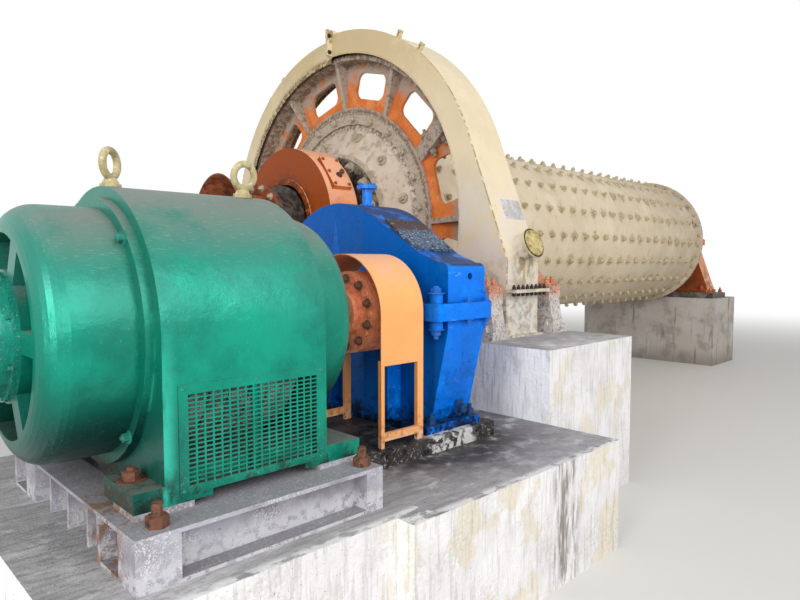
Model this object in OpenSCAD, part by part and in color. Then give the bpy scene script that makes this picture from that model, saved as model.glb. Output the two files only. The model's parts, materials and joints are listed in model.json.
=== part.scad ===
// Ball mill with its drive, on its own foundations, in mm.
// Origin: on the floor under the middle of the discharge bearing; +X along the mill axis
// towards the feed end, +Z up, the motor and gearbox on the -Y side.

/* [Mill drum] */
// Height of the mill axis above the floor
mill_axis_h = 2300; // [1800:10:2600]
// Outer diameter of the shell
shell_d = 2140; // [1900:10:2200]
// Wall thickness of the shell
shell_wall = 25; // [16:1:40]
// Distance from the discharge bearing to the start of the shell
shell_start = 740; // [700:5:900]
// Length of the shell between its flange faces
shell_len = 7300; // [5000:50:8000]
// Outer diameter of the flanges that join shell, heads and gear
flange_d = 2580; // [2400:10:2600]
// Thickness of one shell flange
flange_t = 40; // [25:1:60]
/* [Heads and trunnions] */
// Radius of the raised centre disc of a head, which centres the gear
head_disc_r = 1121; // [1080:1:1140]
// Radius of the trunnion seat in the middle of a head
head_seat_r = 785; // [600:5:850]
// Distance from the shell face to the trunnion seat face
head_depth = 260; // [180:5:320]
// Thickness of the head plate
head_t = 60; // [40:1:90]
// Diameter of the bearing journal
journal_d = 700; // [500:10:760]
// Bore of the trunnion
trunnion_bore_d = 520; // [360:10:600]
// Radius of the shoulder rings beside the journal
shoulder_r = 385; // [365:5:420]
// Half of the journal length between its shoulder rings
journal_half = 200; // [150:5:230]
// Diameter of the flange that carries the spout
spout_flange_d = 756; // [640:2:800]
// Distance from the bearing middle to the spout flange
spout_reach = 470; // [420:5:600]
// Diameter of the mouth of the spout
spout_mouth_d = 890; // [700:10:1000]
// Length of the flared part of the spout
spout_len = 470; // [300:10:600]

/* [Girth gear] */
// Tooth module of gear and pinion
gear_module = 20; // [16:1:22]
// Number of teeth of the girth gear
gear_teeth = 184; // [170:2:190]
// Number of teeth of the pinion
pinion_teeth = 23; // [18:1:26]
// Face width of the gear rim
gear_face = 360; // [280:5:380]
// Inner radius of the gear rim
gear_rim_r = 1770; // [1650:5:1790]
// Thickness of the web
gear_web_t = 32; // [20:1:50]
// Number of windows and of ribs
gear_windows = 12; // [8:2:16]
// Radius of the circle that the window centres lie on
gear_window_r = 1530; // [1500:5:1560]
// Height of a window along the radius
gear_window_h = 270; // [160:5:320]
// Width of a window across the radius
gear_window_w = 450; // [200:5:480]
// Thickness of a rib
gear_rib_t = 50; // [30:1:80]
// Thickness of the two joint plates that hold the gear halves together
gear_joint_t = 150; // [80:5:180]
// Depth of the machined ring that the flange bolts stand in
gear_seat_depth = 12; // [4:1:20]
// Play between the tooth flanks
gear_backlash = 3; // [2:0.5:6]

/* [Pinion and drive line] */
// Distance of the pinion axis from the mill axis, sideways
pinion_side = 1950; // [1900:5:2000]
// Distance between the input and output shafts of the gearbox
gearbox_centres = 580; // [500:5:640]
// Face width of the pinion
pinion_face = 380; // [300:5:400]
// Diameter of the pinion shaft
pinion_shaft_d = 200; // [150:5:240]
// Width of a pinion bearing along its shaft
pinion_bearing_w = 200; // [150:5:240]
// Half width of a pinion bearing across its shaft
pinion_foot_w = 480; // [420:5:500]
// Height of the pinion axis above its pier
pinion_drop = 330; // [280:5:380]
// Radial clearance of the shafts in their bearings
bearing_clearance = 0.05; // [0.02:0.01:0.1]
// Radial clearance of the trunnions in their bearings
trunnion_clearance = 0.1; // [0.05:0.01:0.1]
// Diameter of the slow coupling
slow_coupling_d = 420; // [320:10:460]
// Diameter of the motor coupling
motor_coupling_d = 500; // [360:10:540]
// Diameter of the motor shaft
motor_shaft_d = 140; // [100:5:170]
// Number of pins in the motor coupling
coupling_pins = 10; // [6:1:14]

/* [Main bearings] */
// Height of the mill axis above the bearing piers
bearing_h = 1060; // [1000:5:1160]
// Outer radius of the bearing cap
bearing_cap_r = 770; // [700:5:850]
// Width of a main bearing along the axis
bearing_w = 340; // [280:5:380]
// Radius of the opening in the bearing face around the trunnion
bearing_mouth_r = 400; // [390:5:450]
// Wall thickness of the bearing cap
bearing_wall = 30; // [20:1:50]
// Half width of the bearing foot across the mill
bearing_foot_w = 1050; // [900:10:1150]
// Half width of the sole plate across the mill
sole_w = 1200; // [1100:10:1250]
// Thickness of the sole plate
sole_t = 90; // [50:5:120]
// Half length of the sole plate along the mill
sole_l = 320; // [260:5:380]

/* [Gear guard] */
// Distance from the discharge bearing to the front of the guard
guard_x = 440; // [430:1:460]
// Width of the guard along the axis
guard_w = 470; // [460:5:560]
// Gap between the tooth tips and the guard on the far side
guard_gap = 135; // [110:1:180]
// How much further out the guard half on the drive side stands
guard_step = 60; // [20:1:90]
// Overlap of the guard's front and back plates over the gear teeth, on the drive side
guard_lap = 40; // [30:1:60]
// The same overlap on the far side
guard_lap_far = 105; // [40:1:110]
// Thickness of the guard sheet
guard_t = 8; // [5:1:12]
// Half width of the guard at its joint beside the pinion
guard_box_y = 2345; // [2300:5:2400]
// Height of the guard joint above the pinion axis
guard_joint_up = 60; // [40:5:120]
// Height above that joint at which the guard side starts to lean in
guard_fold_up = 265; // [150:5:300]
// Width of the guard's joint flanges
guard_flange_w = 90; // [60:5:120]
// Width of the joint flanges at the top of the guard
guard_top_flange_w = 60; // [40:5:80]
// Diameter of the sight port
port_d = 224; // [160:2:240]
// Length of the sight port
port_len = 135; // [80:5:160]
// Height of the port above the guard joint
port_up = 363; // [330:1:400]

/* [Foundations] */
// Length of the drive plinth towards the motor
plinth_len = 3330; // [3200:10:3600]
// Front face of the plinth beside the motor, from the mill axis
plinth_front = 3470; // [3380:5:3560]
// Extra width of the plinth beside the gearbox
plinth_step = 110; // [40:5:160]
// Back face of the plinth, from the mill axis
plinth_back = 1150; // [1100:10:1150]
// Length of the pinion pier along the mill
pinion_pier_len = 1280; // [1200:10:1400]
// Reach of the pinion pier from the mill axis
pinion_pier_y = 3040; // [2900:10:3100]
// Length of the discharge pier in front of the bearing
pier_front = 520; // [450:10:600]
// Length of the discharge pier behind the bearing
pier_rear = 400; // [380:1:420]
// Length of the feed pier along the mill
feed_pier_len = 1070; // [800:10:1300]
// Half width of the main bearing piers
pier_w = 1300; // [1250:10:1400]

/* [Motor] */
// Distance from the discharge bearing to the drive end of the motor housing
motor_x = 2090; // [2060:5:2200]
// Length of the motor housing
motor_len = 780; // [600:10:900]
// Radius of the motor housing
motor_r = 640; // [560:5:660]
// Wall thickness of the motor housing
motor_wall = 20; // [12:1:30]
// Radius of the bell at each end of the motor
bell_r = 545; // [480:5:560]
// Length of the rear bell
rear_bell_len = 380; // [300:5:450]
// Length of the drive end bell
drive_bell_len = 280; // [200:5:320]
// Height of the motor shaft above its feet
motor_h = 638; // [620:1:680]
// Height of the motor feet
foot_h = 80; // [50:2:110]
// Width of the slot area in the side of the housing
grille_w = 630; // [400:5:660]
// Height of the slot area in the side of the housing
grille_h = 370; // [240:5:400]
// Number of slot columns in a grille
grille_columns = 17; // [8:1:20]
// Number of slot rows in a grille
grille_rows = 20; // [10:1:24]
// Number of windows in the rear bell, an even number
bell_windows = 6; // [4:2:10]
// Width of the spokes between those windows
bell_spoke_w = 90; // [50:5:140]
// Radius of the ring of a lifting eye
eye_r = 60; // [40:1:70]

/* [Motor base] */
// Height of the base frame
base_h = 204; // [160:2:260]
// Width of one rail of the base frame
rail_w = 380; // [280:5:400]
// Half spacing of the rails, to their outer faces
rail_half = 800; // [720:5:840]
// Depth of the recess in the rail sides
rail_recess = 85; // [40:5:120]
// Height of the pads between rail and motor feet
pad_h = 25; // [10:1:40]

/* [Gearbox] */
// Distance from the discharge bearing to the motor side face of the gearbox
gearbox_x = 1130; // [1100:5:1180]
// Width of the gearbox along the shafts
gearbox_w = 600; // [520:5:660]
// Radius of the big dome of the gearbox cover
gearbox_dome_r = 720; // [600:5:740]
// Distance of the gearbox end wall from the input shaft
gearbox_end = 400; // [340:5:440]
// Height of the end wall's upper edge above the shafts
gearbox_end_h = 300; // [260:5:320]
// How much narrower the gearbox is at the input end
gearbox_taper = 100; // [0:5:140]
// Height of the sole under the gearbox
grout_h = 100; // [60:5:140]
// Thickness of the joint flanges of the gearbox
gearbox_flange_t = 53; // [30:1:60]
// Width of the coupling guard along the shaft
coupling_guard_w = 350; // [240:5:360]
// Radius of the coupling guard
coupling_guard_r = 355; // [300:5:370]

/* [Hidden] */
$fn = 96;
gap = 0.3;
axis_z = mill_axis_h;
shell_r = shell_d / 2;
flange_r = flange_d / 2;
journal_r = journal_d / 2;
shell_end = shell_start + shell_len;
feed_x = shell_end + shell_start;
head_seat_x = shell_start - head_depth;
gear_r = gear_module * gear_teeth / 2;
pinion_r = gear_module * pinion_teeth / 2;
mesh_centres = gear_r + pinion_r;
pinion_y = -pinion_side;
pinion_z = axis_z - sqrt(mesh_centres * mesh_centres - pinion_side * pinion_side);
mesh_angle = atan2(pinion_z - axis_z, pinion_y);
motor_y = pinion_y - gearbox_centres;
motor_z = pinion_z;
gear_tip_r = gear_r + gear_module;
gear_pitch = 360 / gear_teeth;
gear_split = mesh_angle + (floor((150 - mesh_angle) / gear_pitch) + 0.5) * gear_pitch;
gear_root_r = gear_r - 1.25 * gear_module;
web_x = shell_start - flange_t - gear_web_t;
gear_mid_x = web_x + gear_web_t / 2;
gear_x0 = gear_mid_x - gear_face / 2;
hub_x0 = web_x - 40;
pinion_x0 = gear_mid_x - pinion_face / 2;
guard_x1 = guard_x + guard_w;
guard_r = gear_tip_r + guard_gap;
guard_r_drive = guard_r + guard_step;
guard_mouth_r = gear_tip_r - guard_lap;
guard_mouth_far = gear_tip_r - guard_lap_far;
guard_joint_z = pinion_z + guard_joint_up;
guard_fold_z = guard_joint_z + guard_fold_up;
pinion_pier_h = pinion_z - pinion_drop;
pier_h = axis_z - bearing_h;
plinth_h = motor_z - motor_h - pad_h - base_h;
base_top = plinth_h + base_h;
foot_z = base_top + pad_h;
grout_top = plinth_h + grout_h;
rail_x0 = -motor_x - motor_len - 180;
rail_x1 = -motor_x + 210;
motor_x0 = -motor_x - motor_len;
motor_x1 = -motor_x;
motor_shaft_r = motor_shaft_d / 2;
pinion_shaft_r = pinion_shaft_d / 2;
gb_x0 = -gearbox_x;
gb_x1 = -gearbox_x + gearbox_w;
slope_a = 56;
slope_high = [pinion_y - gearbox_dome_r * cos(slope_a), pinion_z + gearbox_dome_r * sin(slope_a)];
slope_low = [motor_y - 170, pinion_z + gearbox_end_h + 60];
guard_far_y = sqrt(guard_r * guard_r - (axis_z - guard_joint_z) * (axis_z - guard_joint_z));
coupling_x = (gb_x1 - 30) / 2;
pinion_bearing_a = guard_x - 70 - pinion_bearing_w;
pinion_bearing_b = guard_x1 + 140;
pressure = 20;

// a cylinder along X from x0, len long, about the line y, z
module xcyl(r, x0, len, y, z) {
  translate([x0, y, z])
    rotate([0, 90, 0])
      cylinder(r = r, h = len);
}

// a truncated cone along X from radius r0 at x0 to radius r1
module xcone(r0, r1, x0, len, y, z) {
  translate([x0, y, z])
    rotate([0, 90, 0])
      cylinder(r1 = r0, r2 = r1, h = len);
}

// a box between two corners
module box(a, b) {
  translate(a)
    cube([b[0] - a[0], b[1] - a[1], b[2] - a[2]]);
}

// a plate drawn in the Y-Z plane and extended along X from x0
module yz_plate(points, x0, len) {
  translate([x0, 0, 0])
    rotate([90, 0, 90])
      linear_extrude(height = len)
        polygon(points);
}

// a body of revolution about a line along X through y, z, from points given as radius and x
module turned(points, y, z) {
  translate([0, y, z])
    rotate([0, 90, 0])
      rotate_extrude()
        polygon(points);
}

// a quarter round of radius r at the end of a turned body: from radius ro to the face at x
function rounded_end(ro, x, r, s) =
  [for (i = [0 : 8]) [ro - r + r * cos(i * 11.25), x - s * r + s * r * sin(i * 11.25)]];

// the involute of a base circle at roll angle t in degrees
function involute(rb, t) = [rb * (cos(t) + t * PI / 180 * sin(t)), rb * (sin(t) - t * PI / 180 * cos(t))];

// the roll angle at which the involute reaches radius r
function roll_at(rb, r) = r <= rb ? 0 : sqrt(r * r / (rb * rb) - 1) * 180 / PI;

// a point turned by a degrees about the origin
function turn(p, a) = [p[0] * cos(a) - p[1] * sin(a), p[0] * sin(a) + p[1] * cos(a)];

// the angle by which the involute has leant over at radius r
function lean(rb, r) = atan2(involute(rb, roll_at(rb, r))[1], involute(rb, roll_at(rb, r))[0]);

// half of the angle that a tooth takes up at the base circle
function half_tooth(rb, r, z, play) = 90 / z - play / (4 * r) * 180 / PI + lean(rb, r);

// one flank point at step i of n between radius rs and rt
function flank(rb, rs, rt, i, n) = involute(rb, roll_at(rb, rs + (rt - rs) * i / n));

// the points of one tooth about the X direction, from root to root
function tooth(rb, rp, rr, rt, z, play, n) =
  let (h = half_tooth(rb, rp, z, play), rs = max(rb, rr), a = h - lean(rb, rs) + 0.5 / z)
  concat(
    [turn([rr, 0], -a)],
    [for (i = [0 : n]) turn(flank(rb, rs, rt, i, n), -h)],
    [for (i = [n : -1 : 0]) turn([flank(rb, rs, rt, i, n)[0], -flank(rb, rs, rt, i, n)[1]], h)],
    [turn([rr, 0], a)]);

// the outline of a whole toothed wheel with a tooth on the X direction
function wheel(m, z, play, n) =
  let (rp = m * z / 2, rb = rp * cos(pressure), rr = rp - 1.25 * m, rt = rp + m)
  [for (k = [0 : z - 1]) for (p = tooth(rb, rp, rr, rt, z, play, n)) turn(p, k * 360 / z)];

// the long block that carries motor and gearbox
module drive_plinth() {
  color("gainsboro")
    union() {
      box([20 - plinth_len, -plinth_front, 0], [20, -plinth_back, plinth_h]);
      box([rail_x1 - 40, -plinth_front - plinth_step, 0], [20, -plinth_front + 1, plinth_h]);
    }
}

// the block under the discharge bearing with its arm under the pinion
module discharge_pier() {
  color("lightgray")
    union() {
      box([-pier_front, -plinth_back, 0], [pier_rear, pier_w, pier_h]);
      box([20, -pinion_pier_y, 0], [pier_rear, -plinth_back + 1, pier_h]);
      box([20, -pinion_pier_y, 0], [20 + pinion_pier_len, -1830, pinion_pier_h]);
      box([20, -pinion_pier_y, pier_h - 1], [pier_rear, -pinion_side + 550, pinion_pier_h]);
      box([guard_x1 + 70, -pinion_pier_y, 0], [20 + pinion_pier_len, -pinion_side + 550, pinion_pier_h]);
    }
}

// the block under the feed bearing
module feed_pier() {
  color("lightgray")
    box([feed_x - feed_pier_len / 2, -pier_w, 0], [feed_x + feed_pier_len / 2, pier_w, pier_h]);
}

// one rail of the motor base with its recessed sides and solid end blocks
module rail(y0) {
  difference() {
    box([rail_x0, y0, plinth_h], [rail_x1, y0 + rail_w, base_top]);
    for (y = [y0 - 1, y0 + rail_w - rail_recess])
      box([rail_x0 + 170, y, plinth_h + 14], [rail_x1 - 100, y + rail_recess + 1, base_top - 18]);
    box([rail_x0 - 1, y0 + 160, plinth_h + 14], [rail_x0 + 100, y0 + rail_w - 30, base_top - 18]);
  }
}

// one welded cross member: a top plate on upright stubs
module cross_member(x0) {
  y1 = rail_half - rail_w + 1;
  box([x0, motor_y - y1, base_top - 16], [x0 + 180, motor_y + y1, base_top]);
  for (y = [-250, 0, 250])
    box([x0 + 20, motor_y + y - 12, plinth_h], [x0 + 160, motor_y + y + 12, base_top - 15]);
}

// the frame of rails and cross members under the motor
module motor_base_frame() {
  color("silver")
    union() {
      rail(motor_y - rail_half);
      rail(motor_y + rail_half - rail_w);
      cross_member(rail_x0);
      cross_member((rail_x0 + rail_x1) / 2 - 90);
      cross_member(rail_x1 - 180);
      for (y = [motor_y - motor_r, motor_y + motor_r - 200])
        for (x = [motor_x0 - 120, motor_x1 - 40])
          box([x, y, base_top - 1], [x + 240, y + 200, foot_z]);
    }
}

// the outline of the housing: a barrel with straight sides below
module housing_body(r, x0, len, bottom) {
  xcyl(r, x0, len, motor_y, motor_z);
  box([x0, motor_y - r, bottom], [x0 + len, motor_y + r, motor_z]);
}

// the stator housing with its feet
module motor_frame() {
  color("mediumaquamarine")
    difference() {
      union() {
        housing_body(motor_r, motor_x0, motor_len, foot_z + 45);
        for (y = [motor_y - motor_r, motor_y + motor_r - 300])
          for (x = [motor_x0 - 120, motor_x1 - 120])
            box([x, y, foot_z], [x + 320, y + 300, foot_z + foot_h]);
      }
      housing_body(motor_r - motor_wall, motor_x0 + motor_wall, motor_len - 2 * motor_wall,
        foot_z + 46 + foot_h);
      xcyl(bell_r - 25, motor_x0 - 1, motor_len + 2, motor_y, motor_z);
      for (y = [motor_y - motor_r, motor_y + motor_r])
        box([motor_x0 + 95, y - 30, motor_z - 210 - grille_h],
          [motor_x0 + 95 + grille_w, y + 30, motor_z - 210]);
    }
}

// one slotted plate over the opening in the side of the housing
module grille(y0, t) {
  x0 = motor_x0 + 95;
  z0 = motor_z - 210 - grille_h;
  px = grille_w / grille_columns;
  pz = grille_h / grille_rows;
  color("mediumaquamarine")
    translate([0, y0 + t, 0])
      rotate([90, 0, 0])
        linear_extrude(height = t)
          difference() {
            translate([x0 - 35, z0 - 30])
              square([grille_w + 70, grille_h + 65]);
            for (i = [0 : grille_columns - 1])
              for (j = [0 : grille_rows - 1])
                translate([x0 + px * i + 4, z0 + pz * j + 3])
                  square([px - 8, pz - 6]);
          }
}

module motor_grille_front() {
  grille(motor_y - motor_r - 4, 4);
}

module motor_grille_back() {
  grille(motor_y + motor_r, 4);
}

// the bell at the coupling end with the bearing for the shaft
module motor_drive_bell() {
  x1 = motor_x1 + drive_bell_len;
  bore = motor_shaft_r + bearing_clearance;
  color("mediumaquamarine")
    difference() {
      turned(concat(
        [[bore, motor_x1], [bell_r + 25, motor_x1], [bell_r + 25, motor_x1 + 30], [bell_r, motor_x1 + 30]],
        rounded_end(bell_r, x1, 110, 1),
        [[bore, x1]]), motor_y, motor_z);
      xcyl(bell_r - 60, motor_x1 - 1, drive_bell_len - 79, motor_y, motor_z);
    }
}

// the bell at the slip ring end with its air windows
module motor_rear_bell() {
  x0 = motor_x0 - rear_bell_len;
  bore = motor_shaft_r + bearing_clearance;
  color("mediumaquamarine")
    difference() {
      turned(concat(
        [[bore, motor_x0], [bell_r + 45, motor_x0], [bell_r + 45, motor_x0 - 40], [bell_r, motor_x0 - 40]],
        rounded_end(bell_r, x0, 120, -1),
        [[bore, x0]]), motor_y, motor_z);
      xcyl(bell_r - 60, x0 + 90, rear_bell_len - 89, motor_y, motor_z);
      difference() {
        xcyl(bell_r - 120, x0 - 1, 92, motor_y, motor_z);
        xcyl(275, x0 - 2, 94, motor_y, motor_z);
        for (k = [0 : bell_windows / 2 - 1])
          translate([x0 - 2, motor_y, motor_z])
            rotate([k * 360 / bell_windows, 0, 0])
              translate([0, -bell_r, -bell_spoke_w / 2])
                cube([94, 2 * bell_r, bell_spoke_w]);
      }
    }
}

// the round cover of the slip rings outside the rear bell
module slip_ring_housing() {
  x1 = motor_x0 - rear_bell_len - gap;
  color("seagreen")
    difference() {
      union() {
        xcone(215, 245, x1 - 220, 30, motor_y, motor_z);
        xcyl(245, x1 - 190, 190, motor_y, motor_z);
        xcyl(265, x1 - 24, 24, motor_y, motor_z);
      }
      xcyl(motor_shaft_r + 60, x1 - 150, 151, motor_y, motor_z);
    }
}

// a ring bolt on top of the motor at x, leaning by the angle tilt about the motor, its ring turned by a
module lifting_eye(x, tilt, a) {
  color("khaki")
    translate([x, motor_y, motor_z])
      rotate([tilt, 0, 0])
        translate([0, 0, motor_r + gap])
          rotate([0, 0, a])
            union() {
              cylinder(r = eye_r - 14, h = 14);
              translate([0, 0, 14])
                cylinder(r1 = eye_r - 20, r2 = eye_r - 36, h = 28);
              translate([0, 0, eye_r + 46])
                rotate([90, 0, 0])
                  rotate_extrude()
                    translate([eye_r, 0, 0])
                      circle(r = 17);
            }
}

module lifting_eye_drive() {
  lifting_eye(motor_x1 - 110, 9, 5);
}

module lifting_eye_rear() {
  lifting_eye(motor_x0 + 60, 0, 40);
}

// the sheet arch over the motor coupling, on four legs
module coupling_guard() {
  x0 = gb_x0 - coupling_guard_w;
  x1 = gb_x0 - 4;
  r = coupling_guard_r;
  t = 6;
  low = motor_z - 290;
  leg = 26;
  color("sandybrown")
    union() {
      difference() {
        union() {
          xcyl(r, x0, x1 - x0, motor_y, motor_z);
          box([x0, motor_y - r, low], [x1, motor_y + r, motor_z]);
        }
        xcyl(r - t, x0 - 1, x1 - x0 + 2, motor_y, motor_z);
        box([x0 - 1, motor_y - r + t, motor_z - r - 1], [x1 + 1, motor_y + r - t, motor_z + 1]);
      }
      for (y = [motor_y - r, motor_y + r - leg]) {
        for (x = [x0, x1 - 50])
          box([x, y, grout_top + gap], [x + (x == x0 ? leg : 50), y + leg, low + 30]);
        box([x0, y, grout_top + 40], [x1, y + leg, grout_top + 85]);
      }
    }
}

// the raised bed under the gearbox
module gearbox_sole() {
  color("dimgray")
    box([gb_x0 - coupling_guard_w - 140, motor_y - 395, plinth_h],
      [gb_x1 + 50, -plinth_back - 50, grout_top]);
}

// the outline of the gearbox seen from above, narrower at the input end
module gearbox_plan(z0, z1) {
  y0 = motor_y - gearbox_end;
  y1 = pinion_y + gearbox_dome_r;
  translate([0, 0, z0])
    linear_extrude(height = z1 - z0)
      polygon([
        [gb_x0 + 70, y1], [gb_x0 + 70, pinion_y - 300], [gb_x0 + 70 + gearbox_taper, motor_y - 230],
        [gb_x0 + 70 + gearbox_taper, y0 - 1], [gb_x1 - 70, y0 - 1], [gb_x1 - 70, y1]]);
}

// the joint flange of one gearbox half with its bolt bosses, from height z0
module gearbox_flange(z0, boss_z0, boss_h) {
  y0 = motor_y - gearbox_end;
  y1 = pinion_y + gearbox_dome_r;
  t = gearbox_flange_t;
  r = 70;
  box([gb_x0 + 20 + r, y0 - 55, z0], [gb_x1 - 20 - r, y1 + 30, z0 + t]);
  box([gb_x0 + 20, y0 - 55 + r, z0], [gb_x1 - 20, y1 + 30, z0 + t]);
  for (x = [gb_x0 + 20 + r, gb_x1 - 20 - r])
    translate([x, y0 - 55 + r, z0])
      cylinder(r = r, h = t);
  for (x = [gb_x0 + 100, gb_x1 - 68])
    for (y = [y0 + 35, (motor_y + pinion_y) / 2, y1 - 25])
      translate([x, y, boss_z0])
        cylinder(r = 42, h = boss_h);
}

// the raised bearing seats of both shafts at radius 150, and their bores
module gearbox_seats() {
  for (y = [motor_y, pinion_y])
    xcyl(150, gb_x0, gearbox_w, y, pinion_z);
}

module gearbox_bores() {
  xcyl(motor_shaft_r - 20 + bearing_clearance, gb_x0 - 1, 241, motor_y, pinion_z);
  xcyl(pinion_shaft_r - 20 + bearing_clearance, gb_x1 - 240, 241, pinion_y, pinion_z);
}

// the lower half of the gearbox with its foot, gussets and joint flange
module gearbox_lower_housing() {
  y0 = motor_y - gearbox_end;
  y1 = pinion_y + gearbox_dome_r;
  z0 = grout_top + 50;
  color("royalblue")
    difference() {
      union() {
        intersection() {
          yz_plate([
            [y0 + 140, z0 - 1], [y1 - 60, z0 - 1], [y1 - 10, pinion_z], [y0, pinion_z],
            [y0, pinion_z - 120]], gb_x0, gearbox_w);
          gearbox_plan(grout_top, pinion_z + 1);
        }
        box([gb_x0 + 40, y0 + 60, grout_top], [gb_x1 - 40, y1 - 20, z0]);
        gearbox_flange(pinion_z - gearbox_flange_t, pinion_z - gearbox_flange_t - 55, 60);
        gearbox_seats();
        box([gb_x0 + 10, pinion_y - 22, z0 - 1], [gb_x0 + 71, pinion_y + 22, pinion_z - 100]);
        box([gb_x0 + 10, motor_y - 22, z0 - 1], [gb_x0 + 171, motor_y + 22, pinion_z - 100]);
        for (y = [motor_y, pinion_y])
          box([gb_x1 - 71, y - 22, z0 - 1], [gb_x1 - 10, y + 22, pinion_z - 100]);
        translate([gb_x1 - 200, y0 + 200, z0 + 62])
          rotate([90, 0, 0])
            cylinder(r = 48, h = 100);
      }
      box([gb_x0 - 1, y0 - 400, pinion_z], [gb_x1 + 1, y1 + 200, pinion_z + 400]);
      gearbox_bores();
    }
}

// a ridged rib over a bearing seat, proud of the wall at x by reach, that fades out at height h
module gearbox_rib(y, x, s, reach, h) {
  lean = atan2(reach, h - 100);
  translate([x, y, pinion_z + 100])
    rotate([0, s * lean, 0])
      linear_extrude(height = h - 100)
        polygon([[-s * reach, 0], [s * 20, 130], [s * 20, -130]]);
}

// the upper half of the gearbox: big dome, sloping top and squared end with a lifting hole
module gearbox_cover() {
  y0 = motor_y - gearbox_end;
  y1 = pinion_y + gearbox_dome_r;
  h = gearbox_end_h;
  color("royalblue")
    difference() {
      union() {
        intersection() {
          union() {
            xcyl(gearbox_dome_r, gb_x0 + 70, gearbox_w - 140, pinion_y, pinion_z);
            yz_plate([
              [y0, pinion_z - 1], [pinion_y, pinion_z - 1], slope_high, slope_low,
              [y0 + 70, pinion_z + h], [y0 + 50, pinion_z + h], [y0, pinion_z + h - 50]],
              gb_x0 + 70, gearbox_w - 140);
            xcyl(50, gb_x0 + 70, gearbox_w - 140, y0 + 50, pinion_z + h - 50);
          }
          gearbox_plan(pinion_z - 900, pinion_z + 900);
        }
        gearbox_flange(pinion_z, pinion_z + gearbox_flange_t - 5, 65);
        gearbox_seats();
        gearbox_rib(pinion_y, gb_x0 + 70, 1, 60, 600);
        gearbox_rib(pinion_y, gb_x1 - 70, -1, 60, 600);
        gearbox_rib(motor_y, gb_x0 + 70 + gearbox_taper, 1, 60 + gearbox_taper, 300);
        gearbox_rib(motor_y, gb_x1 - 70, -1, 60, 300);
      }
      box([gb_x0 - 1, y0 - 400, pinion_z - 900], [gb_x1 + 1, y1 + 400, pinion_z]);
      gearbox_bores();
      translate([gb_x1 - 220, y0 + 60, pinion_z + 215])
        rotate([90, 0, 0])
          cylinder(r = 22, h = 62);
    }
}

// the bolted plate over the inspection hole on the sloping top
module gearbox_inspection_cover() {
  a = atan2(slope_high[1] - slope_low[1], slope_high[0] - slope_low[0]);
  color("slategray")
    translate([0, (slope_low[0] + slope_high[0]) / 2, (slope_low[1] + slope_high[1]) / 2])
      rotate([a, 0, 0])
        box([gb_x0 + 150, -180, gap], [gb_x1 - 110, 180, 16]);
}

// the breather on top of the big dome
module gearbox_breather() {
  color("dodgerblue")
    translate([gb_x0 + 370, pinion_y, pinion_z + gearbox_dome_r + gap])
      union() {
        cylinder(r = 52, h = 14);
        cylinder(r = 36, h = 130);
        translate([0, 0, 125])
          cylinder(r = 75, h = 26);
      }
}

// the input shaft of the gearbox, from the motor coupling into the housing
module gearbox_input_shaft() {
  color("darkgray")
    xcyl(motor_shaft_r - 20, gb_x0 - 190, 400, motor_y, motor_z);
}

// the output shaft of the gearbox, into the slow coupling
module gearbox_output_shaft() {
  color("darkgray")
    xcyl(pinion_shaft_r - 20, gb_x1 - 210, coupling_x - 10 - gb_x1 + 210, pinion_y, pinion_z);
}

// one pillow block on the pinion pier
module pillow_block(x0, w) {
  z0 = pinion_pier_h;
  f = pinion_foot_w;
  r = pinion_foot_w - 190;
  color("coral")
    difference() {
      union() {
        box([x0 - 20, pinion_y - f, z0], [x0 + w + 20, pinion_y + f, z0 + 70]);
        yz_plate([
          [pinion_y - f + 20, z0 + 69], [pinion_y + f - 20, z0 + 69], [pinion_y + f - 70, pinion_z],
          [pinion_y - f + 70, pinion_z]], x0 + 20, w - 40);
        xcyl(r, x0, w, pinion_y, pinion_z);
        box([x0 + 10, pinion_y - f + 60, pinion_z - 40], [x0 + w - 10, pinion_y + f - 60, pinion_z + 110]);
        xcyl(165, x0 - 30, w + 60, pinion_y, pinion_z);
      }
      xcyl(pinion_shaft_r + bearing_clearance, x0 - 40, w + 80, pinion_y, pinion_z);
    }
}

module pinion_bearing_drive() {
  pillow_block(pinion_bearing_a, pinion_bearing_w);
}

module pinion_bearing_far() {
  pillow_block(pinion_bearing_b, pinion_bearing_w);
}

// the guard's outline: a ring about the mill, leaning out to an upright side beside the pinion
module guard_body(r, inset, x0, len) {
  side = guard_box_y - inset;
  drop = axis_z - guard_fold_z;
  far = sqrt(side * side + drop * drop);
  a = acos(r / far) - atan2(drop, side);
  xcyl(r, x0, len, 0, axis_z);
  yz_plate([[0, axis_z], [-r * cos(a), axis_z + r * sin(a)], [-side, guard_fold_z],
    [-side, pinion_pier_h + 10 + inset], [-1700, pinion_pier_h + 10 + inset]], x0, len);
}

// the guard as a hollow sheet case, with any flanges given to it, open towards the mill
module guard_case(r, mouth) {
  difference() {
    union() {
      guard_body(r, 0, guard_x, guard_w);
      children();
    }
    guard_body(r - guard_t, guard_t, guard_x + guard_t, guard_w - 2 * guard_t);
    xcyl(mouth, guard_x - 1, guard_w + 2, 0, axis_z);
    xcyl(pinion_shaft_r + 25, guard_x - 1, guard_w + 2, pinion_y, pinion_z);
  }
}

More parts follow.
